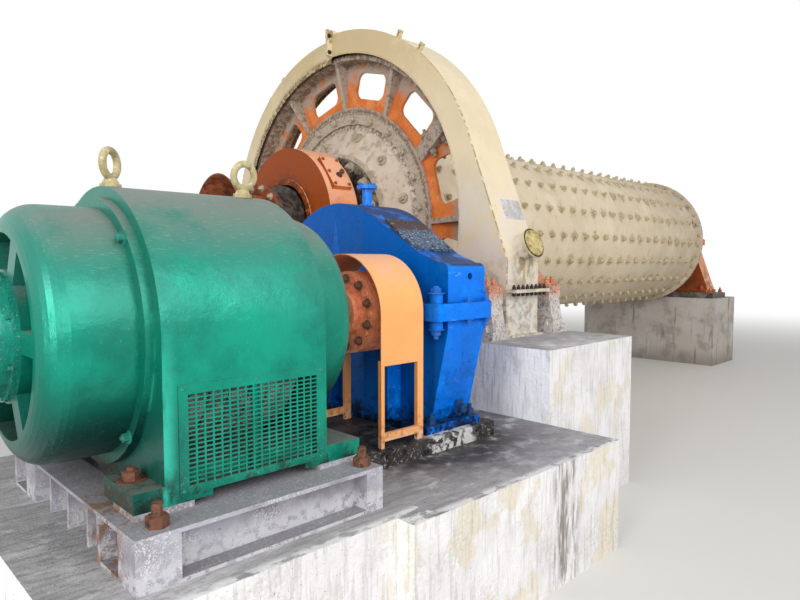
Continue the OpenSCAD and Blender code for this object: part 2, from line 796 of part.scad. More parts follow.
// the lower part of the gear guard, with its feet on the floor
module gear_guard_lower() {
  color("wheat")
    difference() {
      guard_case(guard_r, guard_mouth_r) {
        for (s = [-1, 1]) {
          box([guard_x, s * 640 - 20, 0],
            [guard_x1, s * 640 + 20, axis_z - sqrt(guard_r * guard_r - 660 * 660) + 4]);
          box([guard_x, s * 640 - 80, 0], [guard_x1, s * 640 + 80, 20]);
        }
        box([guard_x, -guard_box_y - guard_flange_w, guard_joint_z - 14],
          [guard_x1 + 50, -guard_box_y + 4, guard_joint_z]);
        box([guard_x, guard_far_y - 6, guard_joint_z - 14],
          [guard_x1, guard_far_y + guard_flange_w, guard_joint_z]);
        box([guard_x, -guard_box_y - 60, pinion_pier_h], [guard_x1, -1850, pinion_pier_h + 14]);
      }
      box([guard_x - 1, -3000, guard_joint_z], [guard_x1 + 60, 3000, 2 * axis_z]);
    }
}

// the joint flange at the top of a guard half, from y0
module guard_top_flange(y0) {
  w = guard_top_flange_w;
  box([guard_x - w, y0, axis_z + guard_mouth_r + 10], [guard_x1, y0 + 14, axis_z + guard_r_drive + w - 10]);
}

// the upper guard half beside the drive, with its joint flanges and sight port
module gear_guard_drive_side() {
  color("wheat")
    union() {
      difference() {
        guard_case(guard_r_drive, guard_mouth_r) {
          box([guard_x, -guard_box_y - guard_flange_w, guard_joint_z],
            [guard_x1 + 50, -guard_box_y + 4, guard_joint_z + 14]);
          guard_top_flange(-14);
        }
        box([guard_x - 100, 0, -1], [guard_x1 + 60, 3000, 2 * axis_z]);
        box([guard_x - 100, -3000, -1], [guard_x1 + 60, 1, guard_joint_z]);
      }
      sight_port();
    }
}

// the upper guard half on the far side, with its joint flanges
module gear_guard_far_side() {
  color("wheat")
    difference() {
      guard_case(guard_r, guard_mouth_far) {
        box([guard_x, guard_far_y - 6, guard_joint_z],
          [guard_x1, guard_far_y + guard_flange_w, guard_joint_z + 14]);
        guard_top_flange(0);
      }
      box([guard_x - 100, -3000, -1], [guard_x1 + 60, 0, 2 * axis_z]);
      box([guard_x - 100, -1, -1], [guard_x1 + 60, 3000, guard_joint_z]);
    }
}

// the round port that stands out square from the leaning side of the guard, closed by its lid
module sight_port() {
  drop = axis_z - guard_fold_z;
  far = sqrt(guard_box_y * guard_box_y + drop * drop);
  a = acos(guard_r_drive / far) - atan2(drop, guard_box_y);
  up = guard_joint_z + port_up - guard_fold_z;
  translate([guard_x + 273, -guard_box_y + up * tan(a), guard_fold_z + up])
    rotate([90 - a, 0, 0])
      translate([0, 0, -guard_t / 2])
        union() {
          cylinder(r = port_d / 2, h = port_len - 10);
          translate([0, 0, port_len - 18])
            cylinder(r = port_d / 2 + 20, h = 18);
        }
}

// the plate between pier and bearing
module bearing_sole(x) {
  color("gray")
    box([x - sole_l, -sole_w, pier_h], [x + sole_l, sole_w, pier_h + sole_t]);
}

module discharge_bearing_sole() {
  bearing_sole(0);
}

module feed_bearing_sole() {
  bearing_sole(feed_x);
}

// the lower half of a main bearing, its bush holding the trunnion
module bearing_base(x) {
  z0 = pier_h + sole_t;
  w = bearing_w;
  color("darkorange")
    difference() {
      union() {
        for (s = [-1, 1])
          yz_plate([
            [0, z0], [s * bearing_foot_w, z0], [s * bearing_foot_w, z0 + 60],
            [s * bearing_cap_r, axis_z - 120], [s * bearing_cap_r, axis_z], [0, axis_z]], x - w / 2, w);
        box([x - w / 2 - 80, -bearing_foot_w, z0], [x + w / 2 + 80, bearing_foot_w, z0 + 60]);
        for (s = [-1, 1])
          box([x - w / 2 - 10, s * (bearing_cap_r + 20) - 60, axis_z - 60],
            [x + w / 2 + 10, s * (bearing_cap_r + 20) + 60, axis_z]);
      }
      xcyl(bearing_mouth_r, x - w / 2 - 1, w + 2, 0, axis_z);
      box([x - w / 2 + bearing_wall, -bearing_cap_r + 60, axis_z - 260],
        [x + w / 2 - bearing_wall, bearing_cap_r - 60, axis_z + 1]);
    }
}

// the bush ring in the bearing
module bush(x) {
  difference() {
    xcyl(bearing_mouth_r + 45, x - 150, 300, 0, axis_z);
    xcyl(journal_r + trunnion_clearance, x - 151, 302, 0, axis_z);
    box([x - 200, -600, axis_z], [x + 200, 600, axis_z + 600]);
  }
}

module discharge_bearing_base() {
  union() {
    bearing_base(0);
    bush(0);
  }
}

module feed_bearing_base() {
  union() {
    bearing_base(feed_x);
    bush(feed_x);
  }
}

// the upper half of a main bearing, a hollow half drum
module bearing_cap(x) {
  w = bearing_w;
  color("darkorange")
    difference() {
      union() {
        xcyl(bearing_cap_r, x - w / 2, w, 0, axis_z);
        for (s = [-1, 1])
          box([x - w / 2 - 10, s * (bearing_cap_r + 20) - 60, axis_z],
            [x + w / 2 + 10, s * (bearing_cap_r + 20) + 60, axis_z + 50]);
        xcyl(bearing_mouth_r + 60, x - w / 2 - 14, w + 28, 0, axis_z);
      }
      xcyl(bearing_cap_r - bearing_wall, x - w / 2 + bearing_wall, w - 2 * bearing_wall, 0, axis_z);
      xcyl(bearing_mouth_r, x - w / 2 - 20, w + 40, 0, axis_z);
      box([x - w, -1000, axis_z - 1000], [x + w, 1000, axis_z]);
    }
}

module discharge_bearing_cap() {
  bearing_cap(0);
}

module feed_bearing_cap() {
  bearing_cap(feed_x);
}

// the inspection cover on the shoulder of the discharge bearing cap
module discharge_bearing_cover() {
  color("orange")
    translate([0, 0, axis_z])
      rotate([52, 0, 0])
        difference() {
          box([-110, -190, bearing_cap_r - 60], [110, 190, bearing_cap_r + 26]);
          xcyl(bearing_cap_r + gap, -111, 222, 0, 0);
        }
}

// the rolled shell with its end flanges
module mill_shell() {
  color("cornsilk")
    difference() {
      union() {
        xcyl(shell_r, shell_start, shell_len, 0, axis_z);
        xcyl(flange_r, shell_start, flange_t, 0, axis_z);
        xcyl(shell_r + 60, shell_end - flange_t, flange_t, 0, axis_z);
      }
      xcyl(shell_r - shell_wall, shell_start - 1, shell_len + 2, 0, axis_z);
    }
}

// a cast head, thin and dished, with its flange and trunnion seat
module head(x0, s, rim) {
  turned([
    [journal_r - 60, x0 - s * head_depth],
    [head_seat_r, x0 - s * head_depth],
    [head_seat_r, x0 - s * (head_depth - 50)],
    [head_disc_r, x0 - s * 75],
    [head_disc_r, x0 - s * flange_t],
    [rim, x0 - s * flange_t],
    [rim, x0],
    [shell_r - shell_wall - 30, x0],
    [head_seat_r - 60, x0 - s * (head_depth - 60 - head_t)],
    [journal_r - 60, x0 - s * (head_depth - 60 - head_t)]], 0, axis_z);
}

module discharge_head() {
  color("antiquewhite")
    head(shell_start, 1, flange_r);
}

module feed_head() {
  color("antiquewhite")
    head(shell_end, -1, shell_r + 60);
}

// the hollow trunnion about the bearing middle at x, with s pointing to the mill
module trunnion(x, s) {
  seat = head_seat_x;
  b = trunnion_bore_d / 2;
  turned([
    [b, x - s * spout_reach],
    [spout_flange_d / 2, x - s * spout_reach],
    [spout_flange_d / 2, x - s * (spout_reach - 40)],
    [journal_r - 30, x - s * (spout_reach - 40)],
    [journal_r - 30, x - s * (journal_half + 30)],
    [shoulder_r, x - s * (journal_half + 30)],
    [shoulder_r, x - s * journal_half],
    [journal_r, x - s * journal_half],
    [journal_r, x + s * journal_half],
    [shoulder_r, x + s * journal_half],
    [shoulder_r, x + s * (seat - 70)],
    [head_seat_r - 40, x + s * (seat - 50)],
    [head_seat_r - 40, x + s * seat],
    [b, x + s * seat]], 0, axis_z);
}

module discharge_trunnion() {
  color("lightslategray")
    trunnion(0, 1);
}

module feed_trunnion() {
  color("lightslategray")
    trunnion(feed_x, -1);
}

// the flared spout bolted to the end of a trunnion
module spout(x, s) {
  x0 = x - s * spout_reach;
  b = trunnion_bore_d / 2;
  m = spout_mouth_d / 2;
  turned([
    [b, x0],
    [spout_flange_d / 2, x0],
    [spout_flange_d / 2, x0 - s * 25],
    [b + 12, x0 - s * 25],
    [b + 12, x0 - s * (spout_len - 320)],
    [m, x0 - s * spout_len],
    [m - 14, x0 - s * spout_len],
    [b, x0 - s * (spout_len - 314)]], 0, axis_z);
}

module discharge_spout() {
  color("sienna")
    spout(0, 1);
}

module feed_spout() {
  color("sienna")
    spout(feed_x, -1);
}

// one half of the bolted girth gear from the split at angle a: toothed rim, web with windows,
// ribs, inner flange and the joint plates on both ends
module girth_gear_half(a) {
  rim = gear_rim_r;
  rr = gear_root_r;
  rb = gear_r * cos(pressure);
  n = gear_teeth / 2;
  m = gear_windows / 2;
  teeth = [for (k = [0 : n - 1])
    for (p = tooth(rb, gear_r, rr, gear_tip_r, gear_teeth, gear_backlash, 2))
      turn(p, (k + 0.5) * gear_pitch)];
  color("chocolate")
    difference() {
      union() {
        difference() {
          translate([gear_x0, 0, axis_z])
            rotate([90, 0, 90])
              rotate([0, 0, a])
                linear_extrude(height = gear_face)
                  polygon(concat([[rr, 0]], teeth, [[-rr, 0]]));
          xcyl(rim, gear_x0 - 1, gear_face + 2, 0, axis_z);
        }
        intersection() {
          union() {
            difference() {
              union() {
                xcyl(rim + 5, web_x, gear_web_t, 0, axis_z);
                xcyl(flange_r + 10, hub_x0, web_x - hub_x0 + 1, 0, axis_z);
              }
              xcyl(head_disc_r + 4, hub_x0 - 1, gear_face, 0, axis_z);
              xcyl(flange_r - 55, hub_x0 - 1, gear_seat_depth + 1, 0, axis_z);
            }
            for (k = [0 : m])
              translate([0, 0, axis_z])
                rotate([a + k * 180 / m - 90, 0, 0])
                  rotate([0, 0, -90])
                    gear_rib(k == 0 || k == m ? gear_joint_t : gear_rib_t);
          }
          translate([gear_x0 - 10, 0, axis_z])
            rotate([a, 0, 0])
              translate([0, -3000, 0])
                cube([gear_face + 20, 6000, 3000]);
        }
      }
      for (k = [0 : m - 1])
        translate([0, 0, axis_z])
          rotate([a + (k + 0.5) * 180 / m - 90, 0, 0])
            gear_window();
    }
}

module girth_gear_lower_half() {
  girth_gear_half(gear_split);
}

module girth_gear_upper_half() {
  girth_gear_half(gear_split + 180);
}

// one rib on both sides of the web, before it is turned into place
module gear_rib(t) {
  translate([-t / 2, 0, 0])
    rotate([90, 0, 90])
      linear_extrude(height = t)
        polygon([
          [gear_x0 + 10, gear_rim_r + 3], [hub_x0 + 8, flange_r + 2], [web_x + 1, flange_r + 2],
          [web_x + 1, gear_rim_r + 3]]);
  translate([-t / 2, 0, 0])
    rotate([90, 0, 90])
      linear_extrude(height = t)
        polygon([
          [gear_x0 + gear_face - 10, gear_rim_r + 3], [web_x + gear_web_t + 40, flange_r + 12],
          [web_x + gear_web_t - 1, flange_r + 12], [web_x + gear_web_t - 1, gear_rim_r + 3]]);
}

// the rounded window cut through the web
module gear_window() {
  h = gear_window_h / 2;
  w = gear_window_w / 2;
  r = 85;
  for (s = [-1, 1]) {
    for (q = [-1, 1])
      xcyl(r, web_x - 1, gear_web_t + 2, s * (w - r), gear_window_r + q * (h - r));
  }
  box([web_x - 1, -w + r, gear_window_r - h], [web_x + gear_web_t + 1, w - r, gear_window_r + h]);
  box([web_x - 1, -w, gear_window_r - h + r], [web_x + gear_web_t + 1, w, gear_window_r + h - r]);
}

// the pinion cut on its own shaft
module pinion_shaft() {
  color("darkgray")
    union() {
      translate([pinion_x0, pinion_y, pinion_z])
        rotate([90, 0, 90])
          rotate([0, 0, mesh_angle + 180 + 180 / pinion_teeth])
            linear_extrude(height = pinion_face)
              polygon(wheel(gear_module, pinion_teeth, gear_backlash, 4));
      xcyl(pinion_shaft_r, coupling_x + 10, pinion_bearing_b + pinion_bearing_w + 30 - coupling_x,
        pinion_y, pinion_z);
    }
}

// the coupling between gearbox and pinion shaft
module slow_coupling() {
  r = slow_coupling_d / 2;
  xm = coupling_x;
  color("orangered")
    difference() {
      union() {
        xcyl(r, xm - 70, 140, pinion_y, pinion_z);
        xcyl(r - 70, xm - 170, 340, pinion_y, pinion_z);
      }
      xcyl(pinion_shaft_r - 20, xm - 171, 172, pinion_y, pinion_z);
      xcyl(pinion_shaft_r, xm, 171, pinion_y, pinion_z);
    }
}

// the motor shaft with its rotor between the bells
module motor_shaft() {
  x0 = motor_x0 - rear_bell_len - 120;
  color("darkgray")
    union() {
      xcyl(motor_shaft_r, x0, gb_x0 - 210 - x0, motor_y, motor_z);
      xcyl(motor_r - 150, motor_x0 + 120, motor_len - 240, motor_y, motor_z);
    }
}

// the pin coupling between motor and gearbox
module motor_coupling() {
  r = motor_coupling_d / 2;
  xm = gb_x0 - 200;
  color("tomato")
    difference() {
      union() {
        xcyl(r, xm - 100, 97, motor_y, motor_z);
        xcyl(r, xm + 3, 97, motor_y, motor_z);
        xcyl(r - 110, xm - 170, 340, motor_y, motor_z);
        for (k = [0 : coupling_pins - 1])
          translate([0, motor_y, motor_z])
            rotate([k * 360 / coupling_pins, 0, 0])
              xcyl(20, xm - 115, 230, r - 45, 0);
      }
      xcyl(motor_shaft_r, xm - 171, 161, motor_y, motor_z);
      xcyl(motor_shaft_r - 20, xm - 12, 183, motor_y, motor_z);
    }
}

drive_plinth();
discharge_pier();
feed_pier();
motor_base_frame();
motor_frame();
motor_grille_front();
motor_grille_back();
motor_drive_bell();
motor_rear_bell();
slip_ring_housing();
lifting_eye_drive();
lifting_eye_rear();
coupling_guard();
gearbox_sole();
gearbox_lower_housing();
gearbox_cover();
gearbox_inspection_cover();
gearbox_breather();
gearbox_input_shaft();
gearbox_output_shaft();
pinion_bearing_drive();
pinion_bearing_far();
gear_guard_lower();
gear_guard_drive_side();
gear_guard_far_side();
discharge_bearing_sole();
discharge_bearing_base();
discharge_bearing_cap();
discharge_bearing_cover();
feed_bearing_sole();
feed_bearing_base();
feed_bearing_cap();
mill_shell();
discharge_head();
feed_head();
discharge_trunnion();
feed_trunnion();
girth_gear_lower_half();
girth_gear_upper_half();
discharge_spout();
feed_spout();
pinion_shaft();
slow_coupling();
motor_shaft();
motor_coupling();
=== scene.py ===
"""Ball mill with its drive: finishes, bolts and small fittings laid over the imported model."""

import json
import math

import bmesh
import bpy
from mathutils import Matrix, Vector


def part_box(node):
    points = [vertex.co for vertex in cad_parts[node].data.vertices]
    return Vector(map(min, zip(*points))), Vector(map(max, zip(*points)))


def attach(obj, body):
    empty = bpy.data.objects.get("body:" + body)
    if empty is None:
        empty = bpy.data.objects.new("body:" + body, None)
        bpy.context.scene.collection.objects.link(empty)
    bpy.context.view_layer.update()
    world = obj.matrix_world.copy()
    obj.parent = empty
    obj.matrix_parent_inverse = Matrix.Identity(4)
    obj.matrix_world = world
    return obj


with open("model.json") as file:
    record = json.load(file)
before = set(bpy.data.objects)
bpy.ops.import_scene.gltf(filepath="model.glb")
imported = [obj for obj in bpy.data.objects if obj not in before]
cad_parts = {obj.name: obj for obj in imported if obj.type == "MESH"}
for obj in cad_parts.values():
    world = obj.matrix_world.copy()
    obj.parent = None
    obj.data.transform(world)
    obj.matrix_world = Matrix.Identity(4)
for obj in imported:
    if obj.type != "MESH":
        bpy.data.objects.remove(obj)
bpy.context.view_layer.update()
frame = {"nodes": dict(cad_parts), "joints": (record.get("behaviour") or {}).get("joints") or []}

bl_info = {
    "name": "Ball mill",
    "version": (1, 0, 0),
    "blender": (4, 5, 0),
    "location": "View3D > Sidebar > Ball mill",
    "description": "Finishes, fasteners and small fittings of a ball mill with its girth gear drive",
    "category": "Object",
}

LINES = {joint["name"]: Vector(joint["pos_m"]) for joint in frame["joints"]}
MILL = LINES["drum_spin"]
PINION = LINES["pinion_spin"]
MOTOR = LINES["motor_spin"]
FIRST_ROW = 0.3486  # from the top of the shell to the first row of liner bolts, in radians
SUNK = 0.0005  # how far a fitting sits into what carries it, so that no gap shows
UP = (0, 0, 1)
DOWN = (0, 0, -1)
WHITE = (1, 1, 1, 1)
NOISE_STEP = 3.7  # how far apart in the noise the masks of one material lie


# Colours and sizes


def linear(tone):
    """The linear red, green and blue that a shader takes, from an sRGB hex colour or from themselves."""
    if not isinstance(tone, str):
        return tuple(tone)
    parts = [int(tone[i : i + 2], 16) / 255 for i in (1, 3, 5)]
    return tuple(p / 12.92 if p <= 0.04045 else ((p + 0.055) / 1.055) ** 2.4 for p in parts)


def shade(tone, amount):
    """The same colour, darker below 1 or lighter above it."""
    return tuple(min(1.0, part * amount) for part in linear(tone))


def colour(name, description, text):
    """One colour that the user may change."""
    return bpy.props.FloatVectorProperty(
        name=name, description=description, subtype="COLOR", size=3, min=0, max=1, default=linear(text)
    )


def length(name, description, metres):
    """One length that the user may change."""
    return bpy.props.FloatProperty(
        name=name, description=description, default=metres, min=0.001, precision=4, unit="LENGTH"
    )


def count(name, description, default, least):
    """One number of like pieces that the user may change."""
    return bpy.props.IntProperty(name=name, description=description, default=default, min=least)


class MillColours(bpy.types.PropertyGroup):
    """The ground colours of the painted and bare surfaces."""

    motor: colour("Motor enamel", "Sea green enamel of the motor", "#04866F")
    gearbox: colour("Gearbox enamel", "Blue enamel of the gearbox", "#0076EA")
    breather: colour("Breather enamel", "Lighter blue of the breather", "#0F7DE6")
    guard: colour("Guard paint", "Cream paint of the gear guard", "#E7D6B4")
    shell: colour("Shell paint", "Cream paint of the shell", "#DFCEB0")
    head: colour("Head paint", "Grey cream paint of the mill heads", "#D3C1AD")
    gear: colour("Gear paint", "Orange paint of the gear web", "#E6803E")
    bearing: colour("Bearing paint", "Orange paint of the main bearings", "#C05A20")
    cover: colour("Coupling guard paint", "Light orange paint of the coupling guard", "#FDB26C")
    eye: colour("Eye bolt paint", "Cream yellow paint of the lifting eyes", "#B9AC80")
    frame: colour("Base frame primer", "Lilac grey primer of the motor base", "#9B979F")
    concrete: colour("Bare concrete", "Concrete where no lime wash is left", "#B1AEAB")
    limewash: colour("Lime wash", "White lime wash on the foundations", "#EDEBEC")
    rust: colour("Rust", "Rust on bare bolts and plates", "#6A4636")
    grime: colour("Grime", "Dark oily dirt", "#2C2926")


class MillSizes(bpy.types.PropertyGroup):
    """The sizes and numbers of the fasteners and small fittings."""

    liner_rows: count("Liner bolt rows", "Rows of liner bolts round the shell", 20, 8)
    liner_rings: count("Liner bolt rings", "Rings of liner bolts along the shell", 25, 4)
    liner_pitch: length("Liner bolt pitch", "Distance between two rings of liner bolts", 0.28)
    liner_last: length("Last ring", "Place of the last ring of liner bolts along the mill", 7.63)
    liner_across: length("Liner nut", "Width across the flats of a liner nut", 0.055)
    shell_r: length("Shell radius", "Outer radius of the shell", 1.07)
    gear_bolt_r: length("Gear bolt circle", "Radius of the circle of the gear flange bolts", 1.175)
    gear_bolt_across: length("Gear nut", "Width across the flats of a gear flange nut", 0.065)
    anchor_across: length("Anchor nut", "Width across the flats of an anchor nut", 0.075)
    plate_width: length("Plate width", "Width of the bare plate on the guard", 0.275)
    plate_height: length("Plate height", "Height of the bare plate on the guard", 0.185)


# Finishes


def add_node(tree, kind, inputs=None, **settings):
    """Adds one shader node with its settings. An input is a value or the output that feeds it."""
    node = tree.nodes.new("ShaderNode" + kind)
    for name, value in settings.items():
        setattr(node, name, value)
    for key, value in (inputs or {}).items():
        if isinstance(value, bpy.types.NodeSocket):
            tree.links.new(value, node.inputs[key])
        else:
            node.inputs[key].default_value = value
    return node


class Finish:
    """One procedural material, built from a ground colour and coats of dirt, wear and dust over it, and
    in some materials coats of painted highlight and painted shade.
    """

    def __init__(self, name, ground, roughness, metallic=0.0, specular=0.3):
        self.material = bpy.data.materials.new(name)
        self.material.use_nodes = True
        self.tree = self.material.node_tree
        self.tree.nodes.clear()
        own = {"Metallic": metallic, "Roughness": roughness, "Specular IOR Level": specular}
        self.shader = self.add("BsdfPrincipled", own)
        self.output = self.add("OutputMaterial", {"Surface": self.shader.outputs[0]})
        self.where = self.add("TexCoord")
        self.spot = self.add("SeparateXYZ", {0: self.where.outputs["Object"]})
        self.colour = (*linear(ground), 1)
        self.roughness = roughness
        self.normal = None
        self.seed = 0

    def add(self, kind, inputs=None, **settings):
        """Adds one node to the material."""
        return add_node(self.tree, kind, inputs, **settings)

    def step(self, value, low, high):
        """A smooth mask that rises from 0 at low to 1 at high, or falls where low is above high."""
        inputs = {"Value": value, "From Min": min(low, high), "From Max": max(low, high)}
        if low > high:
            inputs.update({"To Min": 1.0, "To Max": 0.0})
        return self.add("MapRange", inputs, interpolation_type="SMOOTHSTEP").outputs[0]

    def patches(self, size, level, edge=0.04, stretch=(1, 1, 1)):
        """A mask of irregular patches, size millimetres across, wherever the noise is above level."""
        self.seed += NOISE_STEP
        moved = {
            "Vector": self.where.outputs["Object"],
            "Location": (self.seed, self.seed * 0.7, -self.seed),
            "Scale": [1000 / (size * share) for share in stretch],
        }
        place = self.add("Mapping", moved).outputs[0]
        grain = {"Vector": place, "Scale": 1.0, "Detail": 6.0, "Roughness": 0.62}
        return self.step(self.add("TexNoise", grain).outputs[0], level - edge, level + edge)

    def facing(self, low, high, axis="Z"):
        """A mask of the faces that look along one axis."""
        parts = self.add("SeparateXYZ", {0: self.where.outputs["Normal"]})
        return self.step(parts.outputs[axis], low, high)

    def along(self, axis, low, high):
        """A mask that changes along one axis of the object, between two places in metres."""
        return self.step(self.spot.outputs[axis], low, high)

    def radius(self, centre, low, high, flat=True):
        """A mask by the distance from a line along X, or from a point where flat is False."""
        scale = (0 if flat else 1, 1, 1)
        moved = {
            "Vector": self.where.outputs["Object"],
            "Location": [-part * share for part, share in zip(centre, scale)],
            "Scale": scale,
        }
        far = self.add("VectorMath", {0: self.add("Mapping", moved).outputs[0]}, operation="LENGTH")
        return self.step(far.outputs["Value"], low, high)

    def both(self, *masks):
        """The product of masks, which may be sockets or plain numbers."""
        out = masks[0]
        for mask in masks[1:]:
            out = self.add("Math", {0: out, 1: mask}, operation="MULTIPLY").outputs[0]
        return out

    def coat(self, tone, roughness, strength, *masks):
        """Lays a coat where all masks are 1. None leaves the roughness that is there."""
        if strength < 1.0:
            masks = (*masks, strength)
        mask = self.both(*masks)
        mix = self.add("Mix", {0: mask, 6: self.colour, 7: (*linear(tone), 1)}, data_type="RGBA")
        self.colour = mix.outputs[2]
        if roughness is not None:
            self.roughness = self.add("Mix", {0: mask, 2: self.roughness, 3: roughness}).outputs[0]

    def relief(self, depth, size, edge, stretch=(1, 1, 1), level=0.5):
        """Raises the surface in patches, depth millimetres high and size millimetres across."""
        height = self.patches(size, level, edge, stretch)
        inputs = {"Height": height, "Distance": depth / 1000, "Strength": 1.0}
        if self.normal is not None:
            inputs["Normal"] = self.normal
        self.normal = self.add("Bump", inputs).outputs[0]

    def done(self):
        """Joins the coats to the shader and gives the material."""
        ends = {"Base Color": self.colour, "Roughness": self.roughness, "Normal": self.normal}
        for socket, value in ends.items():
            if isinstance(value, bpy.types.NodeSocket):
                self.tree.links.new(value, self.shader.inputs[socket])
            elif value is not None:
                self.shader.inputs[socket].default_value = value
        return self.material


def dress(material, *nodes):
    """Gives a material to CAD nodes, whose meshes are left alone."""
    for name in nodes:
        node = frame["nodes"][name]
        node.data.materials.clear()
        node.data.materials.append(material)


def tones():
    """The colours in the scene's property group."""
    return bpy.context.scene.mill_colours


def limewashed_concrete():
    """Cast concrete under a worn lime wash, with runs on its sides and grey trowel marks on top."""
    c = tones()
    f = Finish("Limewashed concrete", c.limewash, 0.92, specular=0.2)
    top = f.facing(0.6, 0.8)
    side = f.facing(0.8, 0.6)
    near = f.both(side, f.along("Y", -2.9, -3.1))
    f.coat(shade(c.limewash, 0.8), None, 0.5, f.patches(200, 0.53, 0.12, (1, 1, 1.5)))
    f.coat(c.concrete, None, 0.45, f.patches(500, 0.62, 0.04), f.facing(0.5, 0.9))
    # painted light: the faces turned to -X are coated whiter to make up for the shade on them
    f.coat("#FFFFFF", None, 0.9, f.facing(-0.6, -0.9, "X"))
    f.coat(
        "#DCCFB0", None, 0.6, near, f.patches(300, 0.53, 0.04, (1, 1, 1.5)), f.along("X", -2.6, -1.4),
    )
    f.coat("#AFAAA3", None, 0.4, side, f.patches(22, 0.57, 0.06, (1, 1, 12)))
    runs = f.both(
        f.patches(35, 0.5, 0.09, (1, 1, 8)), f.patches(100, 0.44, 0.1, (1, 1, 2)),
        f.along("X", -0.84, -0.7), f.along("X", -0.42, -0.58),
    )
    f.coat("#6E655C", None, 0.8, side, runs, f.along("Y", -3.2, -3.4))
    f.coat("#B5AFA4", None, 0.4, near, f.patches(350, 0.55, 0.1), f.patches(20, 0.5, 0.1))
    f.coat("#514C47", None, 0.7, side, f.patches(12, 0.66, 0.02))
    f.coat("#A9A7A8", None, 0.95, top, f.patches(800, 0.4, 0.2))
    f.coat("#7C7A7E", None, 0.5, top, f.patches(30, 0.51, 0.12, (6, 1, 1)), f.along("X", -0.9, -1.7))
    f.coat("#88858A", None, 0.5, top, f.patches(90, 0.5, 0.16), f.along("X", -1.7, -0.9))
    f.coat("#6E6B6D", None, 0.6, top, f.patches(12, 0.62, 0.04))
    f.coat("#D5D3D4", None, 0.6, top, f.patches(70, 0.6, 0.06, (1.5, 1, 1)))
    set_back = f.both(f.along("X", -1.76, -1.74), 0.11)  # the step in the front face of the plinth
    front = f.add("Math", {0: f.spot.outputs["Y"], 1: set_back}, operation="ADD").outputs[0]
    f.coat(c.limewash, None, 1.0, top, f.patches(50, 0.46, 0.06, (2, 1, 1)), f.step(front, -3.4, -3.45))
    f.coat(
        "#6A6766", 0.55, 0.8, top, f.patches(160, 0.44, 0.08),
        f.radius((-0.8, -2.4, 0.74), 1.3, 0.75, False),
    )
    f.coat(
        "#2C2927", 0.4, 0.85, top, f.patches(120, 0.45, 0.07),
        f.radius((-0.9, -2.6, 0.74), 0.8, 0.5, False),
    )
    f.relief(1.4, 12, 0.2)
    f.relief(2, 50, 0.2, (3, 1, 1))
    f.relief(8, 160, 0.3)
    return f.done()


def bare_concrete():
    """Cast concrete as it left the form: grey brown, with lime bloom and dark runs down its sides."""
    f = Finish("Bare cast concrete", "#BCB4AC", 0.92, specular=0.2)
    side = f.facing(0.8, 0.6)
    f.coat("#C3BFB9", None, 0.7, f.patches(450, 0.54, 0.08))
    f.coat("#857D75", None, 0.5, f.patches(300, 0.55, 0.08))
    f.coat("#5F5851", None, 0.6, side, f.patches(80, 0.62, 0.06, (1, 1, 10)))
    f.coat("#57524D", 0.7, 0.8, f.facing(0.6, 0.8), f.patches(200, 0.47, 0.06))
    f.coat("#78716A", None, 0.6, side, f.along("Z", 0.35, 0.0))
    f.coat("#4E4944", None, 0.7, side, f.patches(16, 0.67, 0.02))
    f.relief(1.2, 12, 0.2)
    f.relief(6, 200, 0.3)
    return f.done()


def base_frame_primer():
    """Lilac grey primer on welded steel, crusted white low down and finely speckled with cement."""
    c = tones()
    f = Finish("Grey primer on welded steel", c.frame, 0.6)
    f.coat(shade(c.frame, 0.72), 0.7, 0.5, f.patches(300, 0.5, 0.1))
    f.coat("#BEBDC8", 0.9, 0.65, f.facing(-0.6, -0.9, "Y"), f.patches(220, 0.46, 0.1))
    f.coat("#E3E2E5", 0.9, 0.8, f.patches(160, 0.5, 0.08), f.patches(7, 0.55, 0.04))
    f.coat(
        "#D6D5D9", 0.9, 0.75, f.along("Z", 0.87, 0.78), f.patches(40, 0.46, 0.05), f.facing(0.6, 0.3),
    )
    f.coat("#8D8C91", 0.9, 0.8, f.facing(0.6, 0.8), f.patches(250, 0.36, 0.1))
    f.coat("#B9B8BC", 0.9, 0.6, f.facing(0.6, 0.8), f.patches(12, 0.58, 0.05))
    f.coat("#6A5A50", 0.8, 0.7, f.patches(30, 0.68, 0.03))
    f.coat(
        "#86603F", 0.85, 0.8, f.patches(60, 0.52, 0.06, (1, 1, 2)),
        f.radius((-3.05, -2.98, 0.85), 0.3, 0.16, False),
    )
    f.relief(1.4, 14, 0.12, level=0.55)
    return f.done()


